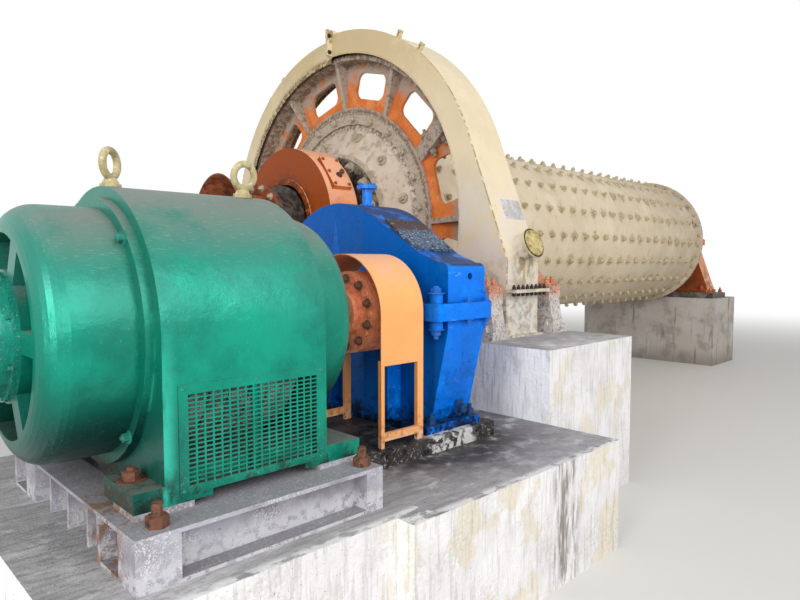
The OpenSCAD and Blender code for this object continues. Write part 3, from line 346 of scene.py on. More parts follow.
def motor_enamel():
    """Sea green hammer enamel over cast iron with metal pigment, dulled by dust, with painted light on
    its side turned to -Y, a painted highlight along one corner, and painted shade low down, underneath
    and on the rear bell.
    """
    c = tones()
    f = Finish("Sea green hammer enamel", c.motor, 0.27, 0.4, 0.3)
    f.coat(shade(c.motor, 0.62), 0.28, 0.5, f.patches(400, 0.52, 0.14, (1, 1, 1.6)))
    # painted light: the side turned to -Y is made lighter and brighter green, as if lit
    f.coat("#0FAE91", 0.18, 0.6, f.patches(500, 0.5, 0.1), f.facing(-0.5, -0.95, "Y"))
    f.coat("#3A8074", 0.4, 0.7, f.along("Z", 1.45, 2.05), f.patches(350, 0.42, 0.2))
    f.coat("#858C86", 0.7, 0.9, f.facing(0.45, 0.98), f.patches(250, 0.36, 0.14))
    f.coat("#A5AAA3", 0.7, 0.5, f.facing(0.3, 0.8), f.patches(6, 0.62, 0.06, (6, 1, 1)))
    f.coat("#8FB5A8", 0.5, 0.3, f.facing(0.9, 0.2), f.patches(4, 0.66, 0.04, (1, 1, 5)))
    # painted shade: the lower part of the motor is darkened in patches
    f.coat("#0A3630", 0.35, 0.35, f.along("Z", 1.35, 1.0), f.patches(140, 0.48, 0.2))
    # painted shade: the rear bell is darkened towards its foot
    rear = f.along("X", -2.72, -2.84)
    f.coat("#18574E", 0.35, 0.78, rear, f.along("Z", 1.62, 1.16))
    # painted shade: the faces turned downwards are darkened low on the motor
    f.coat("#0C3A35", 0.3, 0.85, f.facing(0.0, -0.7), f.along("Z", 1.55, 1.15))
    # painted highlight: a bright glossy streak along the near corner of the housing
    corner = f.both(
        f.facing(-0.7, -0.95, "Y"), f.along("X", -2.8, -2.865), f.along("X", -2.885, -2.872),
        f.along("Z", 1.9, 1.2),
    )
    f.coat("#3CD0B4", 0.22, 0.8, corner, f.patches(80, 0.42, 0.1, (1, 1, 3)))
    f.coat("#95A39C", 0.8, 0.7, f.along("Z", 1.45, 1.1), f.patches(6, 0.63, 0.03))
    f.coat(c.grime, 0.5, 0.8, f.along("Z", 1.12, 0.97), f.patches(50, 0.54, 0.06))
    f.coat(
        "#4A3D30", 0.6, 0.85, f.along("Z", 1.08, 1.0), f.facing(-0.5, -0.9, "X"),
        f.patches(40, 0.45, 0.08),
    )
    f.coat(
        "#6F746D", 0.85, 0.85, f.along("Z", 1.1, 1.04), f.facing(0.7, 0.95), f.patches(60, 0.42, 0.08),
    )
    f.relief(0.4, 30, 0.3)
    f.relief(3, 300, 0.3)
    return f.done()


def slip_ring_enamel():
    """Hammer enamel of a paler green on the slip ring cover, oily and dusty."""
    c = tones()
    f = Finish("Dark green hammer enamel", "#1C9480", 0.22, 0.4)
    f.coat(c.grime, 0.45, 0.5, f.patches(100, 0.6, 0.12))
    f.coat("#93A79E", 0.7, 0.5, f.patches(10, 0.62, 0.05))
    f.relief(0.7, 20, 0.3)
    return f.done()


def eye_enamel():
    """Cream yellow enamel on forged steel, dirty where the hook runs and dusty on top."""
    c = tones()
    f = Finish("Cream enamel on forged steel", c.eye, 0.42)
    f.coat(shade(c.eye, 0.62), 0.55, 0.7, f.patches(40, 0.54, 0.08))
    f.coat("#E2D9B4", 0.4, 0.6, f.patches(30, 0.58, 0.06))
    f.coat("#5C4E33", 0.8, 0.7, f.patches(12, 0.67, 0.03))
    f.relief(0.6, 12, 0.3)
    return f.done()


def gearbox_enamel():
    """Blue enamel over cast iron, glossy at its sides, dusty on top and black with oil at its foot, with
    painted shade on the faces turned to -X and pale streaks on the end turned to -Y that are brush marks
    and painted highlight.
    """
    c = tones()
    f = Finish("Blue enamel", c.gearbox, 0.22, specular=0.12)
    f.coat(shade(c.gearbox, 0.66), 0.34, 0.5, f.patches(280, 0.57, 0.1))
    f.coat("#0A8CFA", 0.2, 0.6, f.patches(200, 0.58, 0.08))
    # painted shade: the faces turned to -X are darker blue
    f.coat("#0055A6", 0.3, 0.85, f.facing(-0.5, -0.9, "X"))
    f.coat("#202A33", 0.55, 0.85, f.facing(0.4, 0.75), f.patches(200, 0.42, 0.1))
    f.coat("#6E767E", 0.85, 0.45, f.facing(0.5, 0.85), f.patches(12, 0.6, 0.05))
    # pale streaks on the end turned to -Y: brush marks together with painted highlight
    f.coat("#7DB6F2", 0.4, 0.3, f.facing(-0.5, -0.9, "Y"), f.patches(50, 0.64, 0.05, (2, 1, 1)))
    f.coat(
        "#0A1626", 0.6, 0.85, f.facing(-0.5, -0.9, "Y"), f.along("Z", 1.55, 1.2),
        f.patches(45, 0.64, 0.02, (1, 1, 1.5)),
    )
    f.coat(
        "#0B4E9E", 0.3, 0.6, f.facing(-0.5, -0.9, "Y"), f.along("Z", 1.5, 0.95),
        f.patches(90, 0.55, 0.05, (1, 1, 2)),
    )
    f.coat("#07152B", 0.22, 0.8, f.along("Z", 1.1, 0.88), f.patches(80, 0.52, 0.06))
    f.coat("#0E0F12", 0.22, 0.9, f.along("Z", 0.98, 0.84), f.patches(50, 0.46, 0.08))
    f.coat("#041C44", 0.35, 0.85, f.patches(18, 0.67, 0.03))
    f.relief(1, 20, 0.3)
    f.relief(5, 180, 0.3)
    return f.done()


def breather_enamel():
    """Lighter blue enamel on the turned breather."""
    c = tones()
    f = Finish("Light blue enamel", c.breather, 0.32)
    f.coat("#6C93BD", 0.6, 0.7, f.facing(0.5, 0.9), f.patches(40, 0.5, 0.1))
    f.coat("#0B3C7C", 0.5, 0.6, f.patches(30, 0.6, 0.05))
    return f.done()


def dusty_plate():
    """Painted steel plate, oily and half buried in cement dust."""
    f = Finish("Dusty steel plate", "#27405E", 0.5, specular=0.2)
    f.coat("#4A5868", 0.85, 0.7, f.patches(70, 0.5, 0.08))
    f.coat("#BCC3C6", 0.9, 0.75, f.patches(10, 0.56, 0.05, (1, 2, 1)))
    f.coat("#1B4A92", 0.4, 0.7, f.patches(60, 0.6, 0.05))
    f.coat("#4A2F28", 0.6, 0.9, f.along("Z", 2.11, 2.14), f.patches(60, 0.4, 0.06))
    f.relief(1, 15, 0.2)
    return f.done()


def oily_sole():
    """Rough grout under the gearbox, black with oil, with white splashes along its near edge."""
    f = Finish("Oily grout", "#2E2A28", 0.5)
    f.coat("#4B4643", 0.8, 0.7, f.patches(120, 0.52, 0.08))
    f.coat(
        "#DDDBDA", 0.9, 0.95, f.patches(110, 0.47, 0.02),
        f.radius((-0.9, -2.93, 0.8), 0.27, 0.17, False),
    )
    f.coat("#B7B4B2", 0.9, 0.7, f.patches(18, 0.6, 0.03), f.along("Y", -2.8, -2.9))
    f.coat("#151312", 0.2, 0.8, f.patches(100, 0.56, 0.05))
    f.relief(4, 30, 0.2)
    return f.done()


def guard_paint():
    """Cream paint on folded steel sheet, soiled low down, at its folds and beside the gear."""
    c = tones()
    f = Finish("Cream paint on steel sheet", c.guard, 0.42)
    f.coat(shade(c.guard, 0.86), 0.5, 0.5, f.patches(450, 0.52, 0.12))
    f.coat(
        "#C7B183", 0.45, 0.8, f.facing(-0.6, -0.9, "X"), f.along("Z", 3.1, 4.2),
        f.patches(500, 0.36, 0.16),
    )
    f.coat("#DAD5CF", 0.6, 0.6, f.along("Z", 2.9, 2.2), f.patches(200, 0.46, 0.1))
    fold = f.both(f.facing(-0.8, -0.5, "X"), f.along("X", 0.466, 0.456), f.patches(50, 0.46, 0.05))
    f.coat("#8F7546", 0.7, 0.8, fold, f.radius(MILL, 1.95, 1.97))
    f.coat("#A08657", 0.65, 0.7, f.radius(MILL, 1.85, 1.8), f.patches(40, 0.48, 0.08))
    f.coat("#5A4327", 0.6, 0.85, f.radius(MILL, 1.815, 1.79), f.patches(30, 0.5, 0.06))
    f.coat(
        "#8F7B57", 0.6, 0.8, f.radius((0.71, -2.42, 1.9), 0.26, 0.1, False),
        f.patches(50, 0.48, 0.08, (1, 1, 2)),
    )
    f.coat("#A39A8E", 0.6, 0.6, f.patches(100, 0.52, 0.08), f.along("Z", 2.05, 1.7))
    f.coat("#E2DFDB", 0.85, 0.85, f.patches(80, 0.5, 0.06), f.along("Z", 1.72, 1.5))
    f.coat("#9A8F84", 0.7, 0.6, f.patches(60, 0.55, 0.06), f.along("Z", 1.8, 1.5))
    f.coat("#3A322C", 0.6, 0.8, f.patches(12, 0.64, 0.03), f.along("Z", 1.8, 1.55))
    f.coat("#8A7147", 0.7, 0.6, f.patches(6, 0.71, 0.02))
    f.coat("#C7B387", 0.5, 0.4, f.patches(40, 0.65, 0.05, (1, 1, 6)))
    f.relief(5, 350, 0.3)
    f.relief(0.4, 10, 0.3)
    return f.done()


def shell_paint():
    """Cream paint on rolled plate, lightly soiled, with slurry leaked out round its liner bolts."""
    c = tones()
    s = bpy.context.scene.mill_sizes
    f = Finish("Cream paint on rolled plate", c.shell, 0.5)
    f.coat(shade(c.shell, 0.84), 0.6, 0.6, f.patches(500, 0.52, 0.12))
    f.coat("#EADDC2", 0.5, 0.5, f.patches(300, 0.57, 0.08))
    f.coat("#B7A78B", 0.7, 0.5, f.patches(90, 0.62, 0.06, (1, 1, 2)))
    f.coat("#93836A", 0.8, 0.6, f.patches(20, 0.69, 0.03))
    f.coat("#A8998A", 0.7, 0.25, f.facing(-0.1, -0.8), f.patches(300, 0.42, 0.12))
    f.coat("#B1A28C", 0.7, 0.65, f.along("X", 4.5, 8.0), f.patches(400, 0.4, 0.2))
    start = f.add("Math", {0: f.spot.outputs["X"], 1: s.liner_last}, operation="SUBTRACT")
    beside = f.add("Math", {0: start.outputs[0], 1: s.liner_pitch / 2}, operation="PINGPONG")
    across = f.add("Math", {0: f.spot.outputs["Y"], 1: -1.0}, operation="MULTIPLY")
    high = f.add("Math", {0: f.spot.outputs["Z"], 1: MILL.z}, operation="SUBTRACT")
    turn = f.add("Math", {0: across.outputs[0], 1: high.outputs[0]}, operation="ARCTAN2")
    turn = f.add("Math", {0: turn.outputs[0], 1: FIRST_ROW}, operation="SUBTRACT")
    turn = f.add("Math", {0: turn.outputs[0], 1: math.pi / s.liner_rows}, operation="PINGPONG")
    round_by = f.add("Math", {0: turn.outputs[0], 1: s.shell_r}, operation="MULTIPLY")
    spot = f.add("CombineXYZ", {0: beside.outputs[0], 1: round_by.outputs[0]})
    gap = f.add("VectorMath", {0: spot.outputs[0]}, operation="LENGTH").outputs["Value"]
    f.coat("#8B7B67", 0.7, 0.55, f.step(gap, 0.05, 0.032), f.patches(50, 0.5, 0.08))
    leak = f.both(f.step(gap, 0.12, 0.035), f.patches(35, 0.49, 0.06, (1, 1, 2)))
    f.coat("#3A322A", 0.6, 0.9, leak, f.patches(450, 0.52, 0.06), f.along("X", 2.6, 4.2))
    f.coat("#8B8069", 0.8, 0.5, f.along("X", 1.05, 0.8))
    f.relief(0.8, 20, 0.2)
    f.relief(5, 400, 0.3)
    return f.done()


def head_paint():
    """Grey cream paint on rough cast steel, dusty, with oil thrown out from the trunnion."""
    c = tones()
    f = Finish("Grey cream paint on cast steel", c.head, 0.6, specular=0.2)
    f.coat("#DDD0BF", 0.65, 0.7, f.patches(200, 0.5, 0.08))
    f.coat("#9C8B7A", 0.6, 0.6, f.patches(120, 0.57, 0.07))
    f.coat("#6F5B49", 0.45, 0.7, f.radius(MILL, 0.78, 0.7), f.patches(70, 0.5, 0.06))
    f.coat("#7A6654", 0.6, 0.8, f.radius(MILL, 1.03, 1.09), f.patches(40, 0.5, 0.06))
    f.coat("#5E4B3B", 0.7, 0.6, f.patches(15, 0.68, 0.03))
    f.relief(3, 30, 0.25)
    return f.done()


def gear_paint():
    """Orange paint on the cast gear web, grey dirt on its ribs and rim, brown grease at its teeth."""
    c = tones()
    f = Finish("Orange paint on cast steel", c.gear, 0.5, specular=0.2)
    f.coat(shade(c.gear, 0.72), 0.6, 0.6, f.patches(160, 0.53, 0.08))
    f.coat("#F09D63", 0.5, 0.6, f.patches(200, 0.57, 0.06))
    grey = "#B8AA9B"
    f.coat(grey, 0.75, 0.95, f.radius(MILL, 1.5, 1.66), f.patches(160, 0.4, 0.1))
    f.coat("#94856F", 0.75, 0.8, f.patches(35, 0.62, 0.05))
    proud = f.along("X", 0.662, 0.652)
    f.coat(grey, 0.75, 1.0, proud, f.patches(120, 0.34, 0.08))
    f.coat("#8A7A69", 0.75, 0.8, proud, f.patches(50, 0.55, 0.06))
    f.coat("#C2B3A1", 0.7, 0.95, f.radius(MILL, 1.275, 1.25), f.patches(100, 0.32, 0.08))
    f.coat("#8C7864", 0.6, 0.6, f.radius(MILL, 1.275, 1.25), f.patches(35, 0.58, 0.06))
    f.coat(
        "#6B5540", 0.6, 0.8, f.radius(MILL, 1.22, 1.26), f.radius(MILL, 1.3, 1.26),
        f.patches(30, 0.45, 0.06),
    )
    f.coat("#7A6551", 0.5, 0.85, f.patches(50, 0.5, 0.06), f.radius(MILL, 1.7, 1.78))
    f.coat("#2F241C", 0.3, 0.9, f.radius(MILL, 1.8, 1.83))
    f.coat("#54402F", 0.6, 0.7, f.patches(18, 0.67, 0.03))
    f.relief(2, 25, 0.25)
    return f.done()


def bearing_paint():
    """Orange paint on the cast bearing housings, faded on top and oily round the trunnion, with paler
    patches of dust and painted light on the side turned to -Y and painted shade on the faces turned to
    -X.
    """
    c = tones()
    f = Finish("Orange paint on cast iron", c.bearing, 0.4, specular=0.14)
    # paler patches on the side turned to -Y: dust together with painted light
    f.coat("#E8925A", 0.45, 0.85, f.facing(-0.1, -0.8, "Y"), f.patches(250, 0.38, 0.12))
    # painted shade: the faces turned to -X are darker orange
    f.coat("#8F4316", 0.4, 0.8, f.facing(-0.5, -0.9, "X"))
    f.coat(shade(c.bearing, 0.66), 0.45, 0.6, f.patches(200, 0.56, 0.08))
    f.coat("#F3B794", 0.75, 0.9, f.facing(0.0, 0.5), f.patches(160, 0.32, 0.12))
    f.coat("#4A2C1B", 0.3, 0.8, f.radius(MILL, 0.56, 0.42), f.patches(60, 0.48, 0.08))
    f.coat("#5A4334", 0.5, 0.7, f.along("Z", 2.15, 1.5), f.patches(100, 0.52, 0.08))
    f.coat("#7A4322", 0.6, 0.6, f.patches(16, 0.67, 0.03))
    f.relief(1.5, 30, 0.25)
    return f.done()


def spattered_bearing_paint():
    """Orange paint on the pinion bearings, crusted with lime low down and spattered with grease."""
    f = Finish("Spattered orange paint", "#DB8558", 0.5)
    f.coat("#C98F73", 0.8, 0.6, f.patches(80, 0.52, 0.08))
    f.coat("#D6D2CE", 0.9, 0.95, f.along("Z", 1.7, 1.55), f.patches(50, 0.34, 0.08))
    f.coat("#A49C95", 0.85, 0.8, f.patches(30, 0.57, 0.06))
    f.coat("#EDEAE7", 0.9, 0.8, f.patches(16, 0.6, 0.04))
    f.coat("#2B2521", 0.35, 0.85, f.patches(14, 0.62, 0.03))
    f.coat("#4A423C", 0.35, 0.6, f.patches(70, 0.6, 0.06))
    f.relief(3, 30, 0.1)
    return f.done()


def cover_paint():
    """Fresh light orange paint on the folded coupling guard, dull on top, scraped at its feet, and with
    painted shade on the faces turned to -X.
    """
    c = tones()
    f = Finish("Light orange paint on steel sheet", c.cover, 0.42)
    f.coat(shade(c.cover, 0.88), 0.45, 0.5, f.patches(250, 0.54, 0.1))
    f.coat("#EDB697", 0.7, 0.8, f.facing(0.35, 0.9), f.patches(200, 0.42, 0.1))
    # painted shade: the faces turned to -X are darker orange
    f.coat("#E08A4E", 0.5, 0.6, f.facing(-0.5, -0.9, "X"))
    f.coat("#B36A38", 0.6, 0.8, f.along("Z", 1.1, 0.84), f.patches(30, 0.54, 0.06))
    f.coat("#D9D2CB", 0.85, 0.85, f.along("Z", 0.96, 0.82), f.patches(25, 0.52, 0.04))
    f.coat("#C97C3A", 0.6, 0.5, f.patches(12, 0.71, 0.03))
    f.relief(2.5, 200, 0.3)
    return f.done()


def sole_iron():
    """Grey cast iron sole plates, filmed with oil and dust."""
    f = Finish("Grey cast iron", "#5E5A55", 0.6)
    f.coat("#8E887E", 0.85, 0.8, f.patches(120, 0.53, 0.06))
    f.coat("#2C2622", 0.35, 0.8, f.patches(150, 0.55, 0.06))
    f.relief(1.5, 20, 0.25)
    return f.done()


def greased_steel():
    """Turned steel under a film of brown grease; the rotor between the bells is near black, partly its
    dark varnish and partly painted shade for the inside of the motor.
    """
    f = Finish("Greased turned steel", "#8A8077", 0.32, 0.85)
    f.coat("#4A3A2B", 0.4, 0.8, f.patches(50, 0.5, 0.08, (0.4, 1, 1)))
    # painted shade, in part: the rotor inside the motor is made near black
    f.coat("#191715", 0.6, 1.0, f.radius(MOTOR, 0.1, 0.11), f.along("X", -1.9, -2.05))
    f.relief(0.3, 10, 0.3, (0.2, 1, 1))
    return f.done()


def core_steel():
    """Varnished core plates behind the slots, thick with pale cement dust."""
    f = Finish("Dusty core plates", "#A9B0AA", 0.8)
    f.coat("#4C5450", 0.7, 0.7, f.patches(100, 0.5, 0.08))
    f.coat("#D5D8D4", 0.9, 0.6, f.patches(30, 0.58, 0.06))
    f.relief(1, 6, 0.2, (0.3, 1, 1))
    return f.done()


def trunnion_iron():
    """Turned grey iron, black with grease beside the bearing."""
    f = Finish("Greasy grey iron", "#625A52", 0.45, 0.3)
    f.coat("#2A221C", 0.3, 0.8, f.patches(80, 0.48, 0.08))
    f.coat("#9B8E7C", 0.75, 0.8, f.radius(MILL, 0.5, 0.6), f.patches(100, 0.5, 0.06))
    f.relief(1, 20, 0.3)
    return f.done()


def spout_rust():
    """Rolled steel spout, orange paint rusted to brown and dark inside."""
    f = Finish("Rusted steel plate", "#8A4A2A", 0.7)
    f.coat("#B06237", 0.7, 0.7, f.patches(120, 0.54, 0.08))
    f.coat("#4E2C1C", 0.8, 0.8, f.patches(70, 0.54, 0.06))
    f.coat("#9A8F80", 0.9, 0.6, f.patches(30, 0.66, 0.04))
    f.relief(1.5, 15, 0.2)
    return f.done()


def coupling_iron():
    """Orange red paint on the iron couplings, dirty between the pins."""
    f = Finish("Red lead on cast iron", "#FF9E72", 0.45)
    f.coat("#DC7450", 0.6, 0.6, f.patches(60, 0.54, 0.08))
    f.coat("#FFC0A0", 0.6, 0.6, f.patches(50, 0.6, 0.05))
    f.coat("#2A201B", 0.4, 0.8, f.patches(20, 0.65, 0.03))
    f.relief(1, 12, 0.25)
    return f.done()


def rusty_bolts():
    """Unpainted black steel bolts, rusted brown."""
    c = tones()
    f = Finish("Rusted steel bolts", c.rust, 0.8)
    f.coat("#7E5440", 0.85, 0.7, f.patches(20, 0.52, 0.08))
    f.coat("#2D211B", 0.6, 0.8, f.patches(30, 0.58, 0.05))
    f.relief(0.8, 6, 0.25)
    return f.done()


def painted_bolts(name, tone):
    """Bolts painted over with the piece that they hold, chipped to rust at their corners."""
    f = Finish(name, tone, 0.45)
    f.coat(shade(tone, 0.62), 0.6, 0.7, f.patches(30, 0.52, 0.08))
    f.coat("#7A5130", 0.8, 0.8, f.patches(20, 0.64, 0.04))
    f.relief(0.6, 8, 0.25)
    return f.done()


def bare_plate():
    """A blank aluminium plate, dull and pale."""
    f = Finish("Dull aluminium plate", "#C9C8CC", 0.5, 0.2)
    f.coat("#ADA79E", 0.7, 0.6, f.patches(100, 0.5, 0.08))
    f.coat("#8C8272", 0.7, 0.6, f.patches(20, 0.6, 0.05))
    f.coat("#DDDCE0", 0.6, 0.5, f.patches(50, 0.6, 0.05))
    return f.done()


def rubber_seal():
    """Black rubber sheet gasket, dusty."""
    f = Finish("Black rubber gasket", "#2A2622", 0.75)
    f.coat("#6A6152", 0.85, 0.7, f.patches(20, 0.56, 0.06))
    return f.done()


def soiled_lid():
    """The lid of the sight port: yellow enamel under oily dirt."""
    f = Finish("Soiled yellow enamel", "#C3B175", 0.4)
    f.coat("#8E7B43", 0.45, 0.7, f.patches(40, 0.54, 0.08))
    f.coat("#DDD0A0", 0.5, 0.7, f.patches(40, 0.6, 0.05))
    f.coat("#4C3E20", 0.5, 0.8, f.patches(12, 0.66, 0.04))
    return f.done()


# Making pieces


def on(point, out):
    """The place of a piece that stands on a point, its own Z along out."""
    return Matrix.Translation(Vector(point)) @ Vector(out).to_track_quat("Z", "Y").to_matrix().to_4x4()


def shift(x, y, z):
    """A place moved along its own axes."""
    return Matrix.Translation((x, y, z))


def middle(name):
    """The middle of a CAD node's box."""
    low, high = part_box(name)
    return (low + high) / 2


def disc(bm, place, radius, low, high, top=None, sides=16):
    """A round or many sided body between two heights, narrower at its top where top is given."""
    bmesh.ops.create_cone(
        bm, cap_ends=True, cap_tris=False, segments=sides, depth=high - low, radius1=radius,
        radius2=radius if top is None else top, matrix=place @ shift(0, 0, (low + high) / 2),
    )


def nut(bm, place, across, stud=0.0, washer=1.0, high=0.8):
    """A hexagon nut or head on its washer, with the end of its bolt standing out by stud.

    What isn't given is a share of its width across the flats.
    """
    base = across * 0.09 * washer
    top = base + across * high
    chamfer = top * 0.94
    if washer:
        disc(bm, place, across * 0.92, -0.001, base, sides=14)
    disc(bm, place, across / math.sqrt(3), base, chamfer, sides=6)
    disc(bm, place, across * 0.5, chamfer, top, across * 0.42, sides=12)
    if stud:
        disc(bm, place, across * 0.31, top, top + stud, across * 0.27, sides=8)


def block(bm, place, size, bevel):
    """A block that stands on its place, its edges rounded by bevel."""
    made = bmesh.ops.create_cube(bm, size=1.0)
    bmesh.ops.scale(bm, vec=size, verts=made["verts"])
    bmesh.ops.translate(bm, vec=(0, 0, size[2] / 2), verts=made["verts"])
    bmesh.ops.transform(bm, matrix=place, verts=made["verts"])
    edges = list({edge for vert in made["verts"] for edge in vert.link_edges})
    bmesh.ops.bevel(
        bm, geom=edges, offset=bevel, affect="EDGES", segments=2, profile=0.5, material=-1,
        offset_type="OFFSET", clamp_overlap=True,
    )


def round_mill(radius, angle, x):
    """A point at an angle from the top of the mill towards the drive side, and the way out there."""
    out = Vector((0, -math.sin(angle), math.cos(angle)))
    return Vector((x, MILL.y, MILL.z)) + out * radius, out


def ring(bm, line, radius, number, x, way, across, start=0.0, stud=0.01, washer=1.0):
    """Nuts in a circle about a line along X, facing along X."""
    for k in range(number):
        a = math.radians(start + 360 * k / number)
        spot = Vector((x, line.y - radius * math.sin(a), line.z + radius * math.cos(a)))
        nut(bm, on(spot, (way, 0, 0)), across, stud, washer)


def hoop(bm, line, inner, outer, x0, x1, steps=72):
    """A hoop of rectangular section about a line along X."""
    section = ((x0, inner), (x0, outer), (x1, outer), (x1, inner))
    corners = [bm.verts.new((x, line.y, line.z + r)) for x, r in section]
    edges = [bm.edges.new((corners[k], corners[(k + 1) % 4])) for k in range(4)]
    bmesh.ops.spin(
        bm, geom=corners + edges, cent=line, axis=(1, 0, 0), angle=math.tau, steps=steps, use_merge=True
    )


def piece(name, bm, body, material, smooth=None):
    """Makes a finished piece that rides on a body, with the material that is given."""
    bmesh.ops.recalc_face_normals(bm, faces=bm.faces)
    mesh = bpy.data.meshes.new(name)
    bm.to_mesh(mesh)
    bm.free()
    made = bpy.data.objects.new(name, mesh)
    bpy.context.scene.collection.objects.link(made)
    made.data.materials.append(material)
    if smooth is not None:
        mesh.shade_smooth()
        mesh.set_sharp_from_angle(angle=math.radians(smooth))
    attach(made, body)
    return made


# The finishes of the CAD nodes


class Foundations(bpy.types.Operator):
    """Finish the concrete blocks, the oily sole and the motor base."""

    bl_idname = "mill.foundations"
    bl_label = "Foundations"
    bl_options = {"REGISTER", "UNDO"}

    def execute(self, context):
        dress(limewashed_concrete(), "drive_plinth", "discharge_pier")
        dress(bare_concrete(), "feed_pier")
        dress(oily_sole(), "gearbox_sole")
        dress(base_frame_primer(), "motor_base_frame")
        dress(sole_iron(), "discharge_bearing_sole", "feed_bearing_sole")
        return {"FINISHED"}


class MotorFinish(bpy.types.Operator):
    """Finish the motor, its lifting eyes, its slip ring cover, the shafts and the couplings."""

    bl_idname = "mill.motor_finish"
    bl_label = "Motor finish"
    bl_options = {"REGISTER", "UNDO"}

    def execute(self, context):
        dress(
            motor_enamel(), "motor_frame", "motor_grille_front", "motor_grille_back", "motor_drive_bell",
            "motor_rear_bell",
        )
        dress(slip_ring_enamel(), "slip_ring_housing")
        dress(eye_enamel(), "lifting_eye_drive", "lifting_eye_rear")
        shafts = ("motor_shaft", "pinion_shaft", "gearbox_input_shaft", "gearbox_output_shaft")
        dress(greased_steel(), *shafts)
        dress(coupling_iron(), "motor_coupling", "slow_coupling")
        return {"FINISHED"}


class GearboxFinish(bpy.types.Operator):
    """Finish the gearbox, its breather and cover plate, and the coupling guard."""

    bl_idname = "mill.gearbox_finish"
    bl_label = "Gearbox finish"
    bl_options = {"REGISTER", "UNDO"}

    def execute(self, context):
        dress(gearbox_enamel(), "gearbox_lower_housing", "gearbox_cover")
        dress(dusty_plate(), "gearbox_inspection_cover")
        dress(breather_enamel(), "gearbox_breather")
        dress(cover_paint(), "coupling_guard")
        return {"FINISHED"}


class MillFinish(bpy.types.Operator):
    """Finish the drum, its gear, its bearings, the pinion bearings and the gear guard."""

    bl_idname = "mill.mill_finish"
    bl_label = "Mill finish"
    bl_options = {"REGISTER", "UNDO"}

    def execute(self, context):
        dress(guard_paint(), "gear_guard_lower", "gear_guard_drive_side", "gear_guard_far_side")
        dress(shell_paint(), "mill_shell")
        dress(head_paint(), "discharge_head", "feed_head")
        dress(gear_paint(), "girth_gear_lower_half", "girth_gear_upper_half")
        dress(trunnion_iron(), "discharge_trunnion", "feed_trunnion")
        dress(spout_rust(), "discharge_spout", "feed_spout")
        dress(
            bearing_paint(), "discharge_bearing_base", "discharge_bearing_cap",
            "discharge_bearing_cover", "feed_bearing_base", "feed_bearing_cap",
        )
        dress(spattered_bearing_paint(), "pinion_bearing_drive", "pinion_bearing_far")
        return {"FINISHED"}


# Bolts and fittings of the drum


class LinerBolts(bpy.types.Operator):
    """Set the rows of liner bolts on the shell."""

    bl_idname = "mill.liner_bolts"
    bl_label = "Liner bolts"
    bl_options = {"REGISTER", "UNDO"}

    def execute(self, context):
        s = context.scene.mill_sizes
        stud_out = 0.012
        bm = bmesh.new()
        for i in range(s.liner_rings):
            for k in range(s.liner_rows):
                turned = FIRST_ROW + math.tau * k / s.liner_rows
                point, out = round_mill(s.shell_r - SUNK, turned, s.liner_last - s.liner_pitch * i)
                nut(bm, on(point, out), s.liner_across, stud_out, high=0.78)
        cream = painted_bolts("Cream painted liner bolts", "#CDBD9B")
        piece("liner_bolts", bm, "drum", cream)
        return {"FINISHED"}


class DrumBolts(bpy.types.Operator):
    """Set the bolts of the heads, the gear flange, the trunnions and the spouts."""

    bl_idname = "mill.drum_bolts"
    bl_label = "Drum bolts"
    bl_options = {"REGISTER", "UNDO"}

    def execute(self, context):
        s = context.scene.mill_sizes
        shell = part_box("mill_shell")
        start, end = shell[0].x, shell[1].x
        flange = 0.040
        gear_face = 0.640
        trunnion_face = 0.426
        spout_face = -0.495
        bm = bmesh.new()
        for x, way in ((gear_face, -1), (start + flange, 1)):
            ring(bm, MILL, s.gear_bolt_r, 24, x, way, s.gear_bolt_across, 7.5, 0.014)
        for x, way in ((end - flange, -1), (end + flange, 1)):
            ring(bm, MILL, 1.100, 36, x, way, 0.036, 5.0, 0.006)
        for circle, number, face, across, turned, stud in (
            (0.695, 16, trunnion_face, 0.060, 7.0, 0.02),
            (0.345, 12, spout_face, 0.036, 15.0, 0.01),
        ):
            for x, way in ((face, -1), (start + end - face, 1)):
                ring(bm, MILL, circle, number, x, way, across, turned, stud)
        soiled = painted_bolts("Soiled flange bolts", "#C4B7A2")
        piece("flange_bolts", bm, "drum", soiled)
        bm = bmesh.new()
        cone_x, cone_r, cone_slope = 0.530, 0.785, 0.4018  # where the head's cone starts, and its lean
        ahead, outwards = 0.928, 0.373  # the way off the cone, along the mill and out from its axis
        for k in range(12):
            circle = 0.93 if k % 2 else 0.98
            x = cone_x + (circle - cone_r) * cone_slope - SUNK
            point, out = round_mill(circle, math.radians(15 + 30 * k), x)
            for x, way in ((point.x, -1), (start + end - point.x, 1)):
                place = on((x, point.y, point.z), out * outwards + Vector((way * ahead, 0, 0)))
                disc(bm, place, 0.062, -0.012, 0.022, 0.048)
                nut(bm, place @ shift(0, 0, 0.021), 0.055, 0.022, 0.0)
        cream = painted_bolts("Grey cream head bolts", "#C2B79F")
        piece("head_bolts", bm, "drum", cream)
        return {"FINISHED"}


